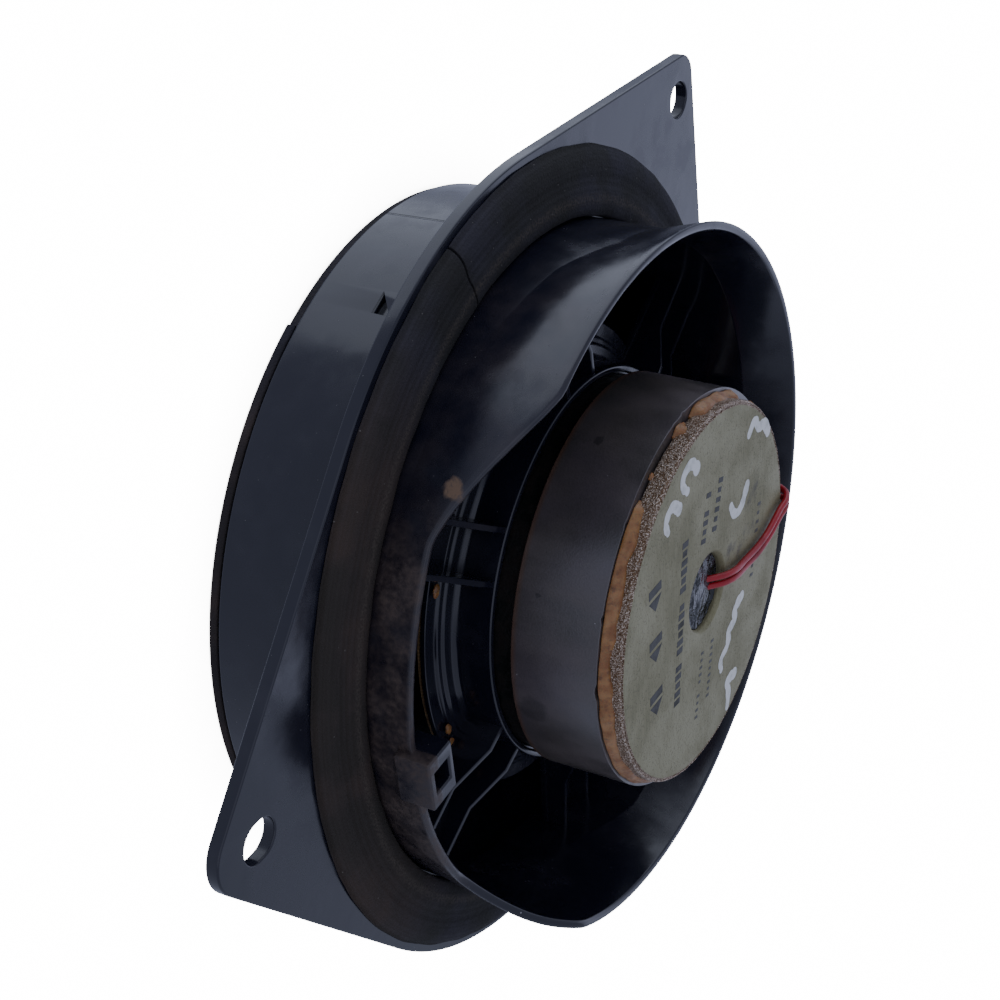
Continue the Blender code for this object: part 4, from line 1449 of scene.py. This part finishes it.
def pale_floor():
    """Plain pale floor that glows evenly, with a painted contact shadow where the speaker nears it."""
    material = bpy.data.materials.new("floor paper pale")
    material.use_nodes = True
    tree = material.node_tree
    tree.nodes.clear()
    # Painted contact shadow: ambient occlusion dims the floor's glow near the speaker.
    near = add_node(tree, "ShaderNodeAmbientOcclusion", {"Distance": 0.03}, samples=8)
    contact_shadow_strength = add_node(
        tree, "ShaderNodeMapRange", {
            "Value": near.outputs["AO"], "From Min": 0.1, "From Max": 0.7, "To Min": 3.0, "To Max": 16.0
        }
    )
    glow = add_node(
        tree, "ShaderNodeEmission", {"Color": (*colours().floor, 1.0), "Strength": contact_shadow_strength.outputs[0]}
    )
    add_node(tree, "ShaderNodeOutputMaterial", {"Surface": glow.outputs[0]})
    bm = bmesh.new()
    bmesh.ops.create_grid(bm, x_segments=1, y_segments=1, size=3.0)
    mesh = bpy.data.meshes.new("pale_floor")
    bm.to_mesh(mesh)
    bm.free()
    mesh.materials.append(material)
    floor = bpy.data.objects.new("pale_floor", mesh)
    floor.location.z = -0.0001
    floor.visible_shadow = False
    floor.visible_glossy = False
    floor.visible_diffuse = False
    bpy.context.scene.collection.objects.link(floor)


CAMERA_TURN = (-25.582, -60.724, 174.084)  # degrees about X, Y and Z


def camera():
    """Camera above the clip-side ear, looking down at the magnet."""
    lens = bpy.data.cameras.new("camera")
    lens.lens = 70.125
    lens.sensor_width = 36.0
    lens.clip_start = 0.01
    eye = bpy.data.objects.new("camera", lens)
    eye.location = (0.31382, -0.23829, 0.22055)
    eye.rotation_euler = [math.radians(degrees) for degrees in CAMERA_TURN]
    bpy.context.scene.collection.objects.link(eye)
    bpy.context.scene.camera = eye


def lights():
    """Dim bluish room, a soft panel over the speaker, and two weak ones behind it and beside the camera."""
    world = bpy.data.worlds.new("room")
    world.use_nodes = True
    background = world.node_tree.nodes["Background"]
    background.inputs["Color"].default_value = (0.44, 0.48, 0.64, 1.0)
    background.inputs["Strength"].default_value = 1.0
    bpy.context.scene.world = world
    soft_panel("overhead_panel", TOWARDS_PANEL, 0.62, 0.8, sizes().panel_power, "#E8F0FF")
    soft_panel("back_panel", Vector((-0.86, 0.33, 0.4)), 0.7, 0.6, 0.62, "#D8DEFF")
    soft_panel("camera_side_panel", Vector((0.74, -0.30, 0.52)), 0.75, 0.9, 0.8, "#E4E8FF")


# ---------------------------------------------------------------- operators


class SpeakerPiece(bpy.types.Operator):
    """Shared by every operator that makes a group of pieces."""

    bl_idname = "door_speaker.piece"
    bl_label = "Make pieces"
    makers = ()

    def execute(self, context):
        for maker in self.makers:
            maker()
        return {"FINISHED"}


class DOOR_OT_stage(SpeakerPiece):
    """Make the camera, the floor and the lights."""

    bl_idname = "door_speaker.stage"
    bl_label = "Stage and camera"
    makers = (camera, pale_floor, lights)


class DOOR_OT_leads(SpeakerPiece):
    """Make the red tweeter leads and the braided cone leads."""

    bl_idname = "door_speaker.leads"
    bl_label = "Leads"
    makers = (tweeter_leads, tinsel_leads)


class DOOR_OT_basket(SpeakerPiece):
    """Make the collar, flange, rain hood, cup, spokes, clip and shelf."""

    bl_idname = "door_speaker.basket"
    bl_label = "Basket"
    makers = (
        basket_collar, basket_flange, rain_hood, spider_cup, basket_spokes, cable_clip, terminal_shelf
    )


class DOOR_OT_gaskets(SpeakerPiece):
    """Make the front strip and the rear foam ring."""

    bl_idname = "door_speaker.gaskets"
    bl_label = "Gaskets"
    makers = (gaskets,)


class DOOR_OT_motor(SpeakerPiece):
    """Make the plates, the magnet, the adhesive and the marks on the back plate."""

    bl_idname = "door_speaker.motor"
    bl_label = "Motor"
    makers = (motor_plates, adhesive, plate_marks)


class DOOR_OT_cone(SpeakerPiece):
    """Make the cone with its coil, surround and spider."""

    bl_idname = "door_speaker.cone"
    bl_label = "Cone"
    makers = (cone_parts,)


class DOOR_OT_tweeter(SpeakerPiece):
    """Make the tweeter and its post."""

    bl_idname = "door_speaker.tweeter"
    bl_label = "Tweeter"
    makers = (tweeter_parts,)


class DOOR_OT_terminals(SpeakerPiece):
    """Make the terminal board, its lugs and the capacitor."""

    bl_idname = "door_speaker.terminals"
    bl_label = "Terminals"
    makers = (terminals,)


OPERATORS = (
    DOOR_OT_stage,
    DOOR_OT_leads,
    DOOR_OT_basket,
    DOOR_OT_gaskets,
    DOOR_OT_motor,
    DOOR_OT_cone,
    DOOR_OT_tweeter,
    DOOR_OT_terminals,
)


class DOOR_PT_panel(bpy.types.Panel):
    """Lists the operators that build the speaker, with its sizes and colours."""

    bl_label = "Door speaker"
    bl_idname = "DOOR_PT_panel"
    bl_space_type = "VIEW_3D"
    bl_region_type = "UI"
    bl_category = "Door speaker"

    def draw(self, context):
        for operator in OPERATORS:
            self.layout.operator(operator.bl_idname)
        for group in (context.scene.door_speaker_sizes, context.scene.door_speaker_colours):
            for name in group.__annotations__:
                self.layout.prop(group, name)


CLASSES = (SpeakerSizes, SpeakerColours, *OPERATORS, DOOR_PT_panel)


def register():
    for item in CLASSES:
        bpy.utils.register_class(item)
    bpy.types.Scene.door_speaker_sizes = bpy.props.PointerProperty(type=SpeakerSizes)
    bpy.types.Scene.door_speaker_colours = bpy.props.PointerProperty(type=SpeakerColours)


def unregister():
    del bpy.types.Scene.door_speaker_colours
    del bpy.types.Scene.door_speaker_sizes
    for item in reversed(CLASSES):
        bpy.utils.unregister_class(item)


def main():
    register()
    for operator in OPERATORS:
        group, name = operator.bl_idname.split(".")
        made = getattr(getattr(bpy.ops, group), name)()
        if made != {"FINISHED"}:
            raise RuntimeError(f"{operator.bl_label} was not made")


if __name__ == "__main__":
    main()
